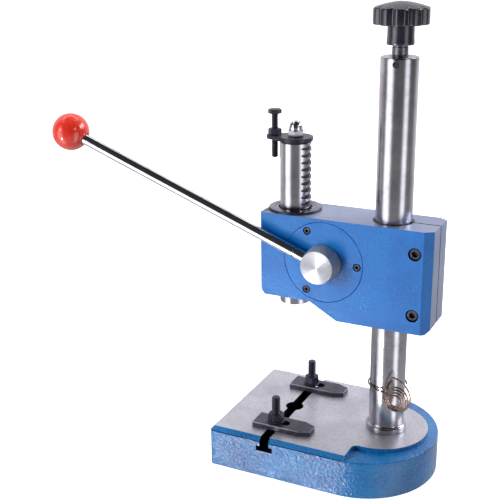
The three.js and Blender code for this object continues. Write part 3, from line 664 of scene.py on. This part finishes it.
def socket_screw(name, node, body, radius, head_r, key):
    """A socket-head screw along Y with its head at the lower Y, in the CAD node's place."""
    place = cad(node)
    head_long = head_r * 1.15
    socket_deep = head_long * 0.6
    long = place.y1 - place.y0
    where = {"centre": (place.cx, place.y0, place.cz), "turn": TO_Y}
    profile = [(0, 0), (head_r - 0.5, 0), (head_r, 0.5), (head_r, head_long), (radius, head_long + 0.01),
               (radius, long - 0.6), (radius - 0.6, long), (0, long)]
    piece = lathe(name, profile, 48, **where)
    cut(piece, prism("cutter", hexagon(key, 15), -1, socket_deep, **where))
    round_edges(piece, 0.12, 2, 40)
    blacken(piece, body, node)


def head_casting():
    """The head's side view is drawn in X and Z, then turned so that it is extruded along Y."""
    low, high = HEAD.z0, HEAD.z1
    nose = low + 15
    cut_x, cut_y = 7.5, 5
    slit_half = 0.8
    lug_half, lug_slot_top = 3.9, 202.3
    housing_r, housing_back = 28, 14
    bushing_r = 11.15
    counterbore_r, counterbore_deep = 5.75, 7.5
    clamp_hole_r, clamp_hole_end = 3.3, 17
    outline = [(HEAD.x0, nose + 5), (HEAD.x0 + 4, nose), (24, nose), (50.5, low), (HEAD.x1 - 4, low),
               (HEAD.x1, low + 4), (HEAD.x1, high), (HEAD.x0, high)]
    upright = Matrix.Rotation(math.pi / 2, 3, "X")
    piece = prism("head_body", outline, -HEAD.ry, HEAD.ry, turn=upright)
    plan = [(HEAD.x0, 1 - HEAD.ry), (HEAD.x0 + 1, -HEAD.ry), (HEAD.x1 - cut_x, -HEAD.ry),
            (HEAD.x1, cut_y - HEAD.ry)]
    keep_inside(piece, prism("cutter", plan + mirrored(plan), low - 5, high + 5))
    column_r = COLUMN_R + 0.15
    funnel = [(0, high - 2), (column_r, high - 2), (column_r + 3, high + 1), (0, high + 1)]
    mouth = lathe("cutter", funnel, 96, centre=(COLUMN.cx, 0, 0))
    seat_y = COVER.y1 + 0.1
    friction = cad("ram_friction_screw")
    nut_screw = cad("height_nut_screw")
    clamp_screws = [cad(f"column_clamp_screw_{number}") for number in (1, 2)]
    cuts = [
        rod("Z", 0, 0, RAM_R + 0.2, low - PAST, high + PAST),
        rod("Z", COLUMN.cx, 0, column_r, low - PAST, high + PAST),
        mouth,
        block((COLUMN.cx, HEAD.x1 + PAST), (-slit_half, slit_half), (low - PAST, high + PAST)),
        block((70, COLUMN.cx - 10), (-lug_half, lug_half), (low - PAST, lug_slot_top)),
        rod("Y", PINION.x, PINION.z, housing_r, -HEAD.ry, housing_back),
        rod("Y", PINION.x, PINION.z, COVER.rx + 0.18, -HEAD.ry - PAST, seat_y, 128),
        rod("Y", PINION.x, PINION.z, bushing_r, 0, HEAD.ry + PAST),
        rod("X", friction.cy, friction.cz, friction.ry + 0.15, HEAD.x0 - PAST, 0),
        rod("Y", nut_screw.cx, nut_screw.cz, nut_screw.rx + 0.2, 0, HEAD.ry + PAST),
    ]
    for screw in clamp_screws:
        cuts.append(rod("Y", screw.cx, screw.cz, counterbore_r, -HEAD.ry - PAST, counterbore_deep - HEAD.ry))
        cuts.append(rod("Y", screw.cx, screw.cz, clamp_hole_r, -HEAD.ry, clamp_hole_end))
    cut(piece, *cuts)
    round_edges(piece, 0.45, 3, 30)
    bare_end = HEAD.x1 - 0.4
    paint_faces(piece, 1, lambda c, n: n.z > 0.9 and c.z > high - 0.3)
    paint_faces(piece, 1, lambda c, n: n.x > 0.9 and c.x > bare_end)
    paint_faces(piece, 1, lambda c, n: n.z < -0.9 and c.z < nose + 1)
    paint_faces(piece, 2, lambda c, n: math.hypot(c.x, c.y) < RAM_R + 0.4)
    paint_faces(piece, 2, lambda c, n: math.hypot(c.x - COLUMN.cx, c.y) < column_r + 3.2 and abs(n.z) < 0.99)
    paint_faces(piece, 2, lambda c, n: abs(c.y) < 0.85 and c.x > COLUMN.cx)
    for screw in clamp_screws:
        paint_faces(piece, 2, lambda c, n: math.hypot(c.x - screw.cx, c.z - screw.cz) < counterbore_r + 0.05
                    and c.y > 0.5 - HEAD.ry)
    finish(piece, "head", "blue_enamel", [HEAD_ENAMEL, HEAD_IRON, GEAR_STEEL], "head_casting")


def pinion_cover():
    deep = COVER.y1 - COVER.y0
    r = COVER.rx
    bore = 11.2
    screw_head_r, screw_hole_r = 3.65, 2.2
    profile = [(bore, 0.3), (bore + 0.3, 0), (r - 0.5, 0), (r, 0.5), (r, deep), (bore, deep)]
    piece = lathe("cover_plate", profile, 128, centre=(PINION.x, COVER.y0, PINION.z), turn=TO_Y)
    cuts = []
    for number in (1, 2, 3):
        screw = cad(f"cover_screw_{number}")
        cuts.append(rod("Y", screw.cx, screw.cz, screw_head_r, COVER.y0 - PAST, COVER.y0 + 3.6, 48))
        cuts.append(rod("Y", screw.cx, screw.cz, screw_hole_r, COVER.y0, COVER.y1 + PAST, 32))
    cut(piece, *cuts)
    round_edges(piece, 0.2, 2, 40)
    finish(piece, "head", "blue_enamel", HEAD_ENAMEL, "pinion_cover")


def ram_flange():
    place = cad("ram_flange")
    tall = place.z1 - place.z0
    bore, dish_r = 15.1, 18.2
    piece = lathe("ram_flange_ring", [
        (bore, 0), (place.rx - 0.4, 0), (place.rx, 0.4), (place.rx, tall - 0.9), (place.rx - 0.4, tall - 0.4),
        (place.rx - 2.2, tall), (dish_r, tall), (dish_r - 0.4, tall - 0.3), (bore + 0.4, tall - 0.7),
        (bore, tall - 1.1),
    ], 128, centre=(0, 0, place.z0))
    smooth(piece)
    paint_faces(piece, 1, lambda c, n: n.z > 0.9)
    finish(piece, "head", "black_oxide", [BLACK, FLANGE_STEEL], "ram_flange")


def head_screws():
    for number in (1, 2, 3):
        socket_screw(f"cover_screw_head_{number}", f"cover_screw_{number}", "head", 2.0, 3.2, 2.6)
    for number in (1, 2):
        socket_screw(f"clamp_screw_head_{number}", f"column_clamp_screw_{number}", "head", 3.0, 5.0, 5.0)


# ---- Ram and depth stop ----

def rack_gaps():
    """The spaces between the rack's teeth, as one cutter."""
    pitch = math.pi * RACK_MODULE
    pitch_x = PINION.x - PINION_TEETH * RACK_MODULE / 2
    slope = math.tan(math.radians(PRESSURE_ANGLE))
    backlash = 0.075
    half = pitch / 4 + backlash
    outer = RAM_R + 1
    wide = half + (outer - pitch_x) * slope
    narrow = half - (pitch_x - RACK_ROOT) * slope
    gaps_below, gaps_above = 4, 15
    bm = bmesh.new()
    for k in range(-gaps_below, gaps_above + 1):
        z = PINION.z + RACK_PHASE + k * pitch
        corners = [(RACK_ROOT, z - narrow), (outer, z - wide), (outer, z + wide), (RACK_ROOT, z + narrow)]
        near = [bm.verts.new((x, -RAM_R - 1, h)) for x, h in corners]
        far = [bm.verts.new((x, RAM_R + 1, h)) for x, h in corners]
        bm.faces.new(near)
        bm.faces.new(far[::-1])
        skin(bm, [near, far])
    return new_object("cutter", bm)


def ram():
    top = RAM.z1
    shank_r, shank_deep = 5, 25
    stud_hole_floor = 280
    screw_up, screw_r = 5.5, 2.7
    rack_foot = 170
    piece = lathe("ram_bar", [
        (0, RAM.z0), (RAM_R - 1, RAM.z0), (RAM_R - 0.3, RAM.z0 + 0.3), (RAM_R, RAM.z0 + 1), (RAM_R, 200),
        (RAM_R, 250), (RAM_R, top - 0.4), (RAM_R - 0.4, top), (0, top),
    ], 128)
    cut(
        piece,
        rack_gaps(),
        rod("Z", 0, 0, shank_r, RAM.z0 - PAST, RAM.z0 + shank_deep, 48),
        rod("Z", 0, 0, M8_CLEARANCE_R, stud_hole_floor, top + PAST, 48),
        rod("X", 0, RAM.z0 + screw_up, screw_r, -RAM_R - PAST, -4, 32),
    )
    round_edges(piece, 0.25, 2, 35)
    paint_faces(piece, 1, lambda c, n: c.x > RACK_ROOT - 0.2 and c.z > rack_foot
                and math.hypot(c.x, c.y) < RAM_R - 0.15)
    finish(piece, "ram", "ground_steel", [RAM_STEEL, GEAR_STEEL], "ram")


def stop_plate():
    plate = cad("stop_plate")
    tab_x = cad("depth_stop_bolt").cx
    tab_r = tab_x - plate.x0
    big_r = plate.ry
    lean = math.degrees(math.acos((big_r - tab_r) / -tab_x))
    outline = arc(0, 0, big_r, -180 + lean, 180 - lean, 64) + arc(tab_x, 0, tab_r, 180 - lean, 180 + lean, 24)
    piece = prism("stop_plate_body", outline, plate.z0, plate.z1)
    through = (plate.z0 - PAST, plate.z1 + PAST, 48)
    cut(piece, rod("Z", 0, 0, M8_CLEARANCE_R, *through), rod("Z", tab_x, 0, M6_CLEARANCE_R, *through))
    round_edges(piece, 0.4)
    blacken(piece, "ram", "stop_plate")
    washer("stop_spacer_body", "stop_spacer", "ram", 0.6, 96)


def washer(name, node, body, foot, sides):
    """A ring with an M8 hole; foot is how much of its lower edge is broken."""
    place = cad(node)
    low, high, r = place.z0, place.z1, place.rx
    edge = 0.4
    piece = lathe(name, [
        (M8_CLEARANCE_R, low), (r - foot, low), (r, low + foot), (r, high - edge), (r - edge, high),
        (M8_CLEARANCE_R, high),
    ], sides, centre=(0, place.cy, 0))
    smooth(piece)
    blacken(piece, body, node)


def hexagonal(name, flats, turn, tall, centre, barrel):
    """A hexagonal block whose corners are turned down to the barrel's profile."""
    piece = prism(name, hexagon(flats, turn), 0, tall, centre=centre)
    return keep_inside(piece, lathe("cutter", barrel, 96, centre=centre))


def hex_nut(name, node, body, flats, bore, turn):
    """A hexagonal nut with chamfered corners and a countersunk bore."""
    place = cad(node)
    tall = place.z1 - place.z0
    centre = (place.cx, place.cy, place.z0)
    corner = flats / math.sqrt(3) + 0.1
    crown = 0.97 * flats / 2
    rise = (flats / math.sqrt(3) - flats / 2) * 0.6
    piece = hexagonal(name, flats, turn, tall, centre, [
        (0, 0), (crown, 0), (corner, rise), (corner, tall - rise), (crown, tall), (0, tall),
    ])
    wide = bore + 1.6
    hole = [(0, -1), (wide, -1), (bore, 0.6), (bore, tall - 0.6), (wide, tall + 1), (0, tall + 1)]
    cut(piece, lathe("cutter", hole, 48, centre=centre))
    round_edges(piece, 0.12, 2, 25)
    blacken(piece, body, node)


def acorn_nut():
    place = cad("acorn_nut")
    centre = (0, 0, place.z0)
    hex_tall = 5.9
    corner = M8_FLATS / math.sqrt(3) + 0.1
    piece = hexagonal("acorn_nut_body", M8_FLATS, 48, hex_tall, centre, [
        (0, 0), (6.3, 0), (corner, 0.7), (corner, hex_tall - 1.0), (6.1, hex_tall), (0, hex_tall),
    ])
    top = place.z1 - place.z0
    dome_r = 6.0
    spring_line = hex_tall + 2.0
    cap = top - spring_line
    steps = 14
    quarter = [TAU / 4 * k / steps for k in range(steps)]
    skin = [(dome_r * math.cos(a), spring_line + cap * math.sin(a)) for a in quarter]
    dome = [(0, hex_tall - 1), (dome_r, hex_tall - 1)] + skin + [(0, top)]
    join(piece, lathe("cutter", dome, 96, centre=centre))
    cut(piece, rod("Z", 0, 0, 4.25, place.z0 - PAST, cad("ram_stud").z1 + 0.5, 48))
    round_edges(piece, 0.15, 2, 30)
    paint_faces(piece, 1, lambda c, n: c.z > place.z0 + hex_tall + 0.4)
    finish(piece, "ram", "chrome", [NUT_STEEL, CHROME], "acorn_nut")


def stop_bolt():
    place = cad("depth_stop_bolt")
    head = 4.0
    bar = threaded("stop_bolt_body", 3.0, 1.0, place.z0, place.z1 - head + 0.5, centre=(place.cx, 0, 0))
    smooth(bar, 60)
    blacken(bar, "stop_bolt", "depth_stop_bolt")
    corner = M6_FLATS / math.sqrt(3) + 0.1
    cap = hexagonal("stop_bolt_head", M6_FLATS, 24, head, (place.cx, 0, place.z1 - head), [
        (0, 0), (corner, 0), (corner, head - 0.7), (4.7, head), (0, head),
    ])
    round_edges(cap, 0.15, 2, 25)
    blacken(cap, "stop_bolt")
    hex_nut("stop_nut_body", "depth_stop_nut", "stop_nut", M6_FLATS, 3.05, 20)


# ---- Lever ----

LEVER = Vector((BALL.cx - PINION.x, 0, BALL.cz - PINION.z))
ALONG_LEVER = along(LEVER.normalized())


def lever_hub():
    """A short cone with its broad end at the head and a small dimple in its face."""
    deep = HUB.y1 - HUB.y0
    face_r, rear_r = 15.4, HUB.rz
    piece = lathe("hub_body", [
        (0, 0.12), (1.2, 0.05), (2.4, 0), (face_r - 1.0, 0), (face_r - 0.3, 0.3), (face_r, 1.0),
        ((face_r + rear_r) / 2, deep / 2), (rear_r - 0.1, deep - 0.6), (rear_r - 0.5, deep), (0, deep),
    ], 128, centre=(PINION.x, HUB.y0, PINION.z), turn=TO_Y)
    hole_r, hole_start, hole_end = LEVER_R + 0.15, 8.4, 20
    shaft_r = 8.15
    hole = lathe("cutter", [(0, hole_start), (hole_r, hole_start), (hole_r, hole_end), (0, hole_end)], 64,
                 centre=(PINION.x, BALL.cy, PINION.z), turn=ALONG_LEVER)
    cut(piece, hole, rod("Y", PINION.x, PINION.z, shaft_r, HUB.y0 + 4, HUB.y1 + PAST))
    round_edges(piece, 0.15, 2, 40)
    paint_faces(piece, 1, lambda c, n: abs(n.y) < 0.5)
    finish(piece, "lever", "turned_aluminium", [ALUMINIUM, HUB_SIDE], "lever_hub")


def lever_rod():
    """The rod has a groove near the hub, and its outer end is inside the ball."""
    start = 8.7
    groove, neck = 24.3, 0.9
    end = LEVER.length + 8
    r = LEVER_R
    piece = lathe("lever_bar", [
        (0, start), (r - 0.6, start), (r, start + 0.6), (r, groove), (r - neck, groove + 0.3),
        (r - neck, groove + 1.9), (r, groove + 2.2), (r, 120), (r, end - 24), (r, end - 0.6), (r - 0.6, end),
        (0, end),
    ], 64, centre=(PINION.x, BALL.cy, PINION.z), turn=ALONG_LEVER)
    smooth(piece)
    finish(piece, "lever", "chrome", CHROME, "lever_rod")


def lever_ball():
    """A ball with a flat where the rod goes in; its profile runs from the bore's floor round the skin."""
    r = BALL.ry
    flat_r = 6.4
    bore, floor = LEVER_R + 0.1, 8.5
    start = math.asin(flat_r / r)
    steps = 48
    angles = [start + (math.pi - start) * k / steps for k in range(steps)]
    skin = [(r * math.sin(a), -r * math.cos(a)) for a in angles]
    flat_z = skin[0][1]
    mouth = [(bore, floor), (bore, flat_z + 0.5), (bore + 0.5, flat_z)]
    ball = lathe("lever_ball_body", mouth + skin + [(0, r), (0, floor)], 96,
                 centre=(BALL.cx, BALL.cy, BALL.cz), turn=ALONG_LEVER)
    smooth(ball)
    finish(ball, "lever", "red_ball", RED, "lever_ball")


# ---- Height knob ----

def star_knob():
    """Ten broad lobes with narrow flutes between them, a domed top and a round hub.

    A row is a radius, a height and how much of the flutes' depth shows there.
    """
    place = cad("star_knob")
    hub_bottom = place.z0
    rim_bottom = hub_bottom + 16.2
    crown = place.z1
    rim_top = crown - 5.0
    outer = 23.35
    hub_r, bore = 11.4, 5.3
    sides = 400
    flutes, flute_deep, first_flute = 10, 2.3, math.radians(-56.5)
    rows = [
        (bore, hub_bottom + 0.4, 0), (bore + 0.4, hub_bottom, 0), (hub_r - 0.3, hub_bottom, 0),
        (hub_r, hub_bottom + 0.3, 0), (hub_r, hub_bottom + 2, 0), (hub_r - 0.3, hub_bottom + 6, 0),
        (hub_r - 0.4, rim_bottom - 1.2, 0), (hub_r - 0.1, rim_bottom - 0.3, 0), (hub_r + 0.4, rim_bottom, 0),
        (18, rim_bottom + 0.1, 0.3), (outer - 0.9, rim_bottom + 0.1, 1),
        (outer - 0.25, rim_bottom + 0.4, 1), (outer, rim_bottom + 1.0, 1), (outer + 0.1, rim_bottom + 6, 1),
        (outer, rim_top - 1.0, 1), (outer - 0.3, rim_top - 0.2, 1), (outer - 0.9, rim_top + 0.25, 0.95),
    ]
    dome_r, dome_foot, dome_rows = outer - 0.9, rim_top + 0.25, 15
    for k in range(1, dome_rows):
        share = k / dome_rows
        rise = (crown - dome_foot) * (1 - (1 - share) ** 1.7)
        rows.append((dome_r * (1 - share), dome_foot + rise, max(0.0, 0.95 - 3.6 * share)))
    bm = bmesh.new()
    rings = []
    for r, z, flute in rows:
        ring = []
        for k in range(sides):
            a = TAU * k / sides
            wave = (1 + math.cos(flutes * (a - first_flute))) / 2
            reach = r - flute * flute_deep * wave ** 2.6
            ring.append(bm.verts.new((reach * math.cos(a), reach * math.sin(a), z)))
        rings.append(ring)
    skin(bm, rings)
    crown_tip = bm.verts.new((0, 0, crown))
    turns = [TAU * k / sides for k in range(sides)]
    socket = [bm.verts.new((bore * math.cos(a), bore * math.sin(a), hub_bottom + 20)) for a in turns]
    for k in range(sides):
        after = (k + 1) % sides
        bm.faces.new((rings[-1][k], rings[-1][after], crown_tip))
        bm.faces.new((socket[k], socket[after], rings[0][after], rings[0][k]))
    bm.faces.new(socket[::-1])
    piece = new_object("star_knob_body", bm, centre=(COLUMN.cx, 0, 0))
    smooth(piece, 50)
    finish(piece, "height_knob", "black_plastic", PLASTIC, "star_knob")


def height_screw():
    place = cad("height_screw")
    neck = cad("star_knob").z0 - 0.4
    above = COLUMN.z1 + 0.8
    collar_r, collar_low, collar_high = 8.2, 344, 351.7
    piece = lathe("height_screw_bar", [
        (0, place.z0), (5, place.z0), (6, place.z0 + 1), (6, collar_low), (collar_r, collar_low),
        (collar_r, collar_high), (6.15, collar_high + 0.1), (6.15, above), (6.7, above + 0.7),
        (6.7, neck - 1.6), (6.1, neck - 1.2), (6.1, neck), (5, neck), (5, place.z1), (0, place.z1),
    ], 96, centre=(COLUMN.cx, 0, 0))
    smooth(piece)
    finish(piece, "height_knob", "gear_steel", GEAR_STEEL, "height_screw")


# ---- Work clamps ----

def clamp(number):
    body = f"clamp_{number}"
    place = cad(f"clamp_strap_{number}")
    y = place.cy
    half = place.ry
    tip_half = 6.0
    taper_x = 26.0
    side = [(place.x0, -half), (taper_x, -half), (place.x1, -tip_half)]
    strap = prism(f"strap_{number}_body", side + mirrored(side), place.z0, place.z1, centre=(0, y, 0))
    slot_half, slot_start, slot_end = 4.4, -0.6, 9.6
    slot = arc(slot_end, 0, slot_half, -90, 90, 16) + arc(slot_start, 0, slot_half, 90, 270, 16)
    cut(strap, prism("cutter", slot, place.z0 - PAST, place.z1 + PAST, centre=(0, y, 0)))
    round_edges(strap, 0.7)
    # Painted highlight: the bevels that face partly upwards get the light edge material.
    paint_faces(strap, 1, lambda c, n: 0.1 < n.z < 0.95)
    finish(strap, f"strap_{number}", "black_oxide", [STRAP_BLACK, STRAP_EDGE_HIGHLIGHT], f"clamp_strap_{number}")
    bolt = cad(f"t_bolt_{number}")
    head_top = 31.2
    stud = threaded(f"t_bolt_{number}_stud", 4.0, 1.25, head_top, bolt.z1, centre=(0, y, 0))
    smooth(stud, 60)
    blacken(stud, body, f"t_bolt_{number}")
    edge = [(bolt.x0, -bolt.ry), (bolt.x1, -bolt.ry)]
    foot = prism(f"t_bolt_{number}_head", edge + mirrored(edge), bolt.z0, head_top, centre=(0, y, 0))
    round_edges(foot, 0.5, 2)
    blacken(foot, body)
    washer(f"clamp_washer_{number}_body", f"clamp_washer_{number}", body, 0.3, 64)
    hex_nut(f"clamp_nut_{number}_body", f"clamp_nut_{number}", body, M8_FLATS, 4.05, 15 + 20 * number)


def clamps():
    for number in (1, 2):
        clamp(number)


# ---- Loose spring on the column ----

def column_spring():
    """The wire runs round the column, crosses its front, spirals out and ends in a hanging loop."""
    wire = 0.8
    middle_x, middle_z, tall = 15.0, 80.6, 1.12
    inner_r, outer_r, turns = 4.2, 11.6, 3.85
    front, rear = 24.0, 19.6
    start, apex, loop_end = 137.0, 100.0, -65.0
    points = []

    def polar(degrees, r):
        a = math.radians(degrees)
        return r * math.cos(a), r * math.sin(a)

    def local(degrees, r, out):
        u, v = polar(degrees, r)
        points.append((middle_x + u, -out, middle_z + tall * v))

    wrap_z = 85.0
    for k in range(25):
        points.append((*polar(15 + 8.75 * k, COLUMN_R + 1.3), wrap_z))
    points += [(-5, -18, 85.2), (3.5, -21, 84.6)]
    steps = 100
    for k in range(steps + 1):
        share = k / steps
        r = inner_r + (outer_r - inner_r) * share
        local(start - 360 * turns * share, r, front - (front - rear) * share)
    loop_start = start - 360 * turns + 360 * math.ceil(turns)
    loop_steps = 48
    peak, spread = 6.4, 50
    for k in range(1, loop_steps + 1):
        degrees = loop_start + (loop_end - loop_start) * k / loop_steps
        local(degrees, outer_r + peak * math.exp(-abs(degrees - apex) / spread), rear - 0.4)
    line = bpy.data.curves.new("column_spring_wire", "CURVE")
    line.dimensions = "3D"
    spline = line.splines.new("NURBS")
    spline.points.add(len(points) - 1)
    for point, place in zip(spline.points, points):
        point.co = (*(value * MM for value in place), 1.0)
    spline.order_u = 4
    spline.use_endpoint_u = True
    spline.resolution_u = 4
    line.bevel_depth = wire * MM
    line.bevel_resolution = 4
    line.use_fill_caps = True
    piece = bpy.data.objects.new("column_spring_wire", line)
    piece.location = (COLUMN.cx * MM, 0, 0)
    bpy.context.scene.collection.objects.link(piece)
    finish(piece, "base", "spring_wire", WIRE, "column_spring")


# ---- CAD nodes that keep their shape ----

KEPT = [
    (BLACK, ["column_bolt", "column_bolt_washer", "bushing_grub_screw", "height_nut_screw",
             "ram_friction_screw", "shaft_retaining_ring", "hub_set_screw", "nose_set_screw"]),
    (STEEL, ["screw_bushing", "rear_thrust_washer", "pinion_shaft", "front_spacer", "rear_spacer"]),
    (GEAR_STEEL, ["pinion_gear", "pinion_key", "ram_stud"]),
    (BRONZE, ["cover_bushing", "rear_bushing", "height_nut"]),
    (NYLON, ["ram_friction_plug"]),
]


def dress_kept_nodes():
    for look, nodes in KEPT:
        for node in nodes:
            mesh = frame["nodes"][node].data
            mesh.materials.clear()
            mesh.materials.append(look)


# ---- Stage, in metres ----

CAMERA_AZIMUTH = 26.46
CAMERA_ELEVATION = 18.61
CAMERA_ROLL = -0.64
CAMERA_PLACE = (0.3354, -0.7675, 0.4820)
SENSOR = 36.0
FOCAL_SHARE = 1.922
LAMP_TARGET = Vector((0.03, 0, 0.2))


def from_press(azimuth, elevation):
    """A unit vector at an azimuth to the right of -Y and at an elevation."""
    a, e = math.radians(azimuth), math.radians(elevation)
    return Vector((math.sin(a) * math.cos(e), -math.cos(a) * math.cos(e), math.sin(e)))


def studio_floor():
    """A pale floor that is level under the press and curves up far away on every side."""
    level_r, curve_r = 3000, 2500
    curve = [math.radians(7.5 * k) for k in range(1, 9)]
    rise = [(level_r + curve_r * math.sin(a), curve_r * (1 - math.cos(a))) for a in curve]
    floor = lathe("studio_floor", [(0, 0), (level_r, 0)] + rise, 96, centre=(0, 0, -0.2))
    bm = bmesh.new()
    bm.from_mesh(floor.data)
    for face in bm.faces:
        if face.normal.z < 0:
            face.normal_flip()
    bm.to_mesh(floor.data)
    bm.free()
    floor.data.shade_smooth()
    floor.data.materials.append(floor_paint())
    floor.visible_glossy = False
    floor.visible_diffuse = False


def softbox(name, azimuth, elevation, distance, side, power):
    """A square light; azimuth is measured from the camera's side of the press, to the right."""
    outward = from_press(CAMERA_AZIMUTH + azimuth, elevation)
    light = bpy.data.lights.new(name, "AREA")
    light.shape = "RECTANGLE"
    light.size = side
    light.size_y = side
    light.energy = power
    lamp = bpy.data.objects.new(name, light)
    lamp.location = LAMP_TARGET + distance * outward
    lamp.rotation_euler = (-outward).to_track_quat("-Z", "Y").to_euler()
    lamp.visible_camera = False
    lamp.visible_glossy = False
    bpy.context.scene.collection.objects.link(lamp)


def camera():
    data = bpy.data.cameras.new("camera")
    data.sensor_width = SENSOR
    data.lens = SENSOR * FOCAL_SHARE
    data.clip_start = 0.01
    data.clip_end = 50.0
    eye = bpy.data.objects.new("camera", data)
    a, roll = math.radians(CAMERA_AZIMUTH), math.radians(CAMERA_ROLL)
    back = from_press(CAMERA_AZIMUTH, CAMERA_ELEVATION)
    right = Vector((math.cos(a), math.sin(a), 0))
    up = back.cross(right)
    right, up = (math.cos(roll) * right + math.sin(roll) * up, math.cos(roll) * up - math.sin(roll) * right)
    turn = Matrix((right, up, back)).transposed().to_4x4()
    eye.matrix_world = Matrix.Translation(CAMERA_PLACE) @ turn
    bpy.context.scene.collection.objects.link(eye)
    bpy.context.scene.camera = eye


def studio_world():
    """The room that the press mirrors: dim, lighter towards the floor, with soft patches of light.

    A bearing is measured from the camera's side of the press, to the right; all angles are in degrees.
    """
    world = bpy.data.worlds.new("studio")
    world.use_nodes = True
    sky = Nodes(world.node_tree, "Generated")
    x, y, z = sky.parts(sky.coords)
    turn = math.radians(CAMERA_AZIMUTH)
    cos, sin = math.cos(turn), math.sin(turn)
    right = sky.math("ADD", sky.math("MULTIPLY", x, cos), sky.math("MULTIPLY", y, sin))
    near = sky.math("SUBTRACT", sky.math("MULTIPLY", x, sin), sky.math("MULTIPLY", y, cos))
    azimuth = sky.math("ARCTAN2", right, near)
    level = sky.math("ARCSINE", z)

    def band(value, middle, half, soft):
        """1 within half of the middle, falling to 0 over soft."""
        off = sky.math("ABSOLUTE", sky.math("SUBTRACT", value, math.radians(middle)))
        return sky.ramp(off, 1.0, 0.0, (math.radians(half), math.radians(half + soft)), "SMOOTHSTEP")

    ambient, below_horizon, towards_floor = 0.035, 0.165, 0.4
    light = sky.math("ADD", ambient, sky.math("MULTIPLY", band(level, -90, 78, 14), below_horizon))
    light = sky.math("ADD", light, sky.math("MULTIPLY", band(level, -90, 50, 32), towards_floor))
    # Bearing, half width and fade, then elevation, half height and fade, then strength.
    patches = [
        (180, 45, 50, 15, 25, 12, 0.76),
        (180, 60, 30, 56, 3, 4, 2.5),
        (-63, 13, 14, -28, 26, 10, 1.75),
        (41, 7, 12, -28, 26, 10, 1.6),
        (-66, 8, 8, 12, 20, 12, 0.7),
        (98, 14, 10, 26, 5, 6, 8.0),
        (-56, 2, 4, -30.5, 2.5, 3.5, 80.0),
        (-79, 6, 6, 58, 5, 6, 1.4),
        (-62, 7, 3, 15, 6, 3, 4.0),
        (40, 3, 2, 24, 3, 2, 8.0),
    ]
    for across, half, soft, up, tall, fade, glow in patches:
        off = azimuth if across < 180 else sky.math("ABSOLUTE", azimuth)
        patch = sky.math("MULTIPLY", band(off, across, half, soft), band(level, up, tall, fade))
        light = sky.math("ADD", light, sky.math("MULTIPLY", patch, glow))
    background = world.node_tree.nodes["Background"]
    background.inputs["Color"].default_value = (0.96, 0.97, 1.0, 1.0)
    sky.feed(background.inputs["Strength"], light)
    bpy.context.scene.world = world


def studio():
    bpy.context.scene.view_settings.view_transform = "Standard"
    studio_world()
    softbox("key_left", -62, 15, 2.4, 0.9, 38)
    softbox("fill_right", 100, 24, 1.5, 0.5, 4)
    softbox("overhead", 150, 66, 1.6, 1.3, 18)


BUILD_ORDER = [
    camera, base_casting, column, head_casting, pinion_cover, ram_flange, head_screws, ram, stop_plate,
    acorn_nut, stop_bolt, lever_hub, lever_rod, lever_ball, star_knob, height_screw, clamps, column_spring,
    dress_kept_nodes, studio_floor, studio,
]
for build in BUILD_ORDER:
    build()
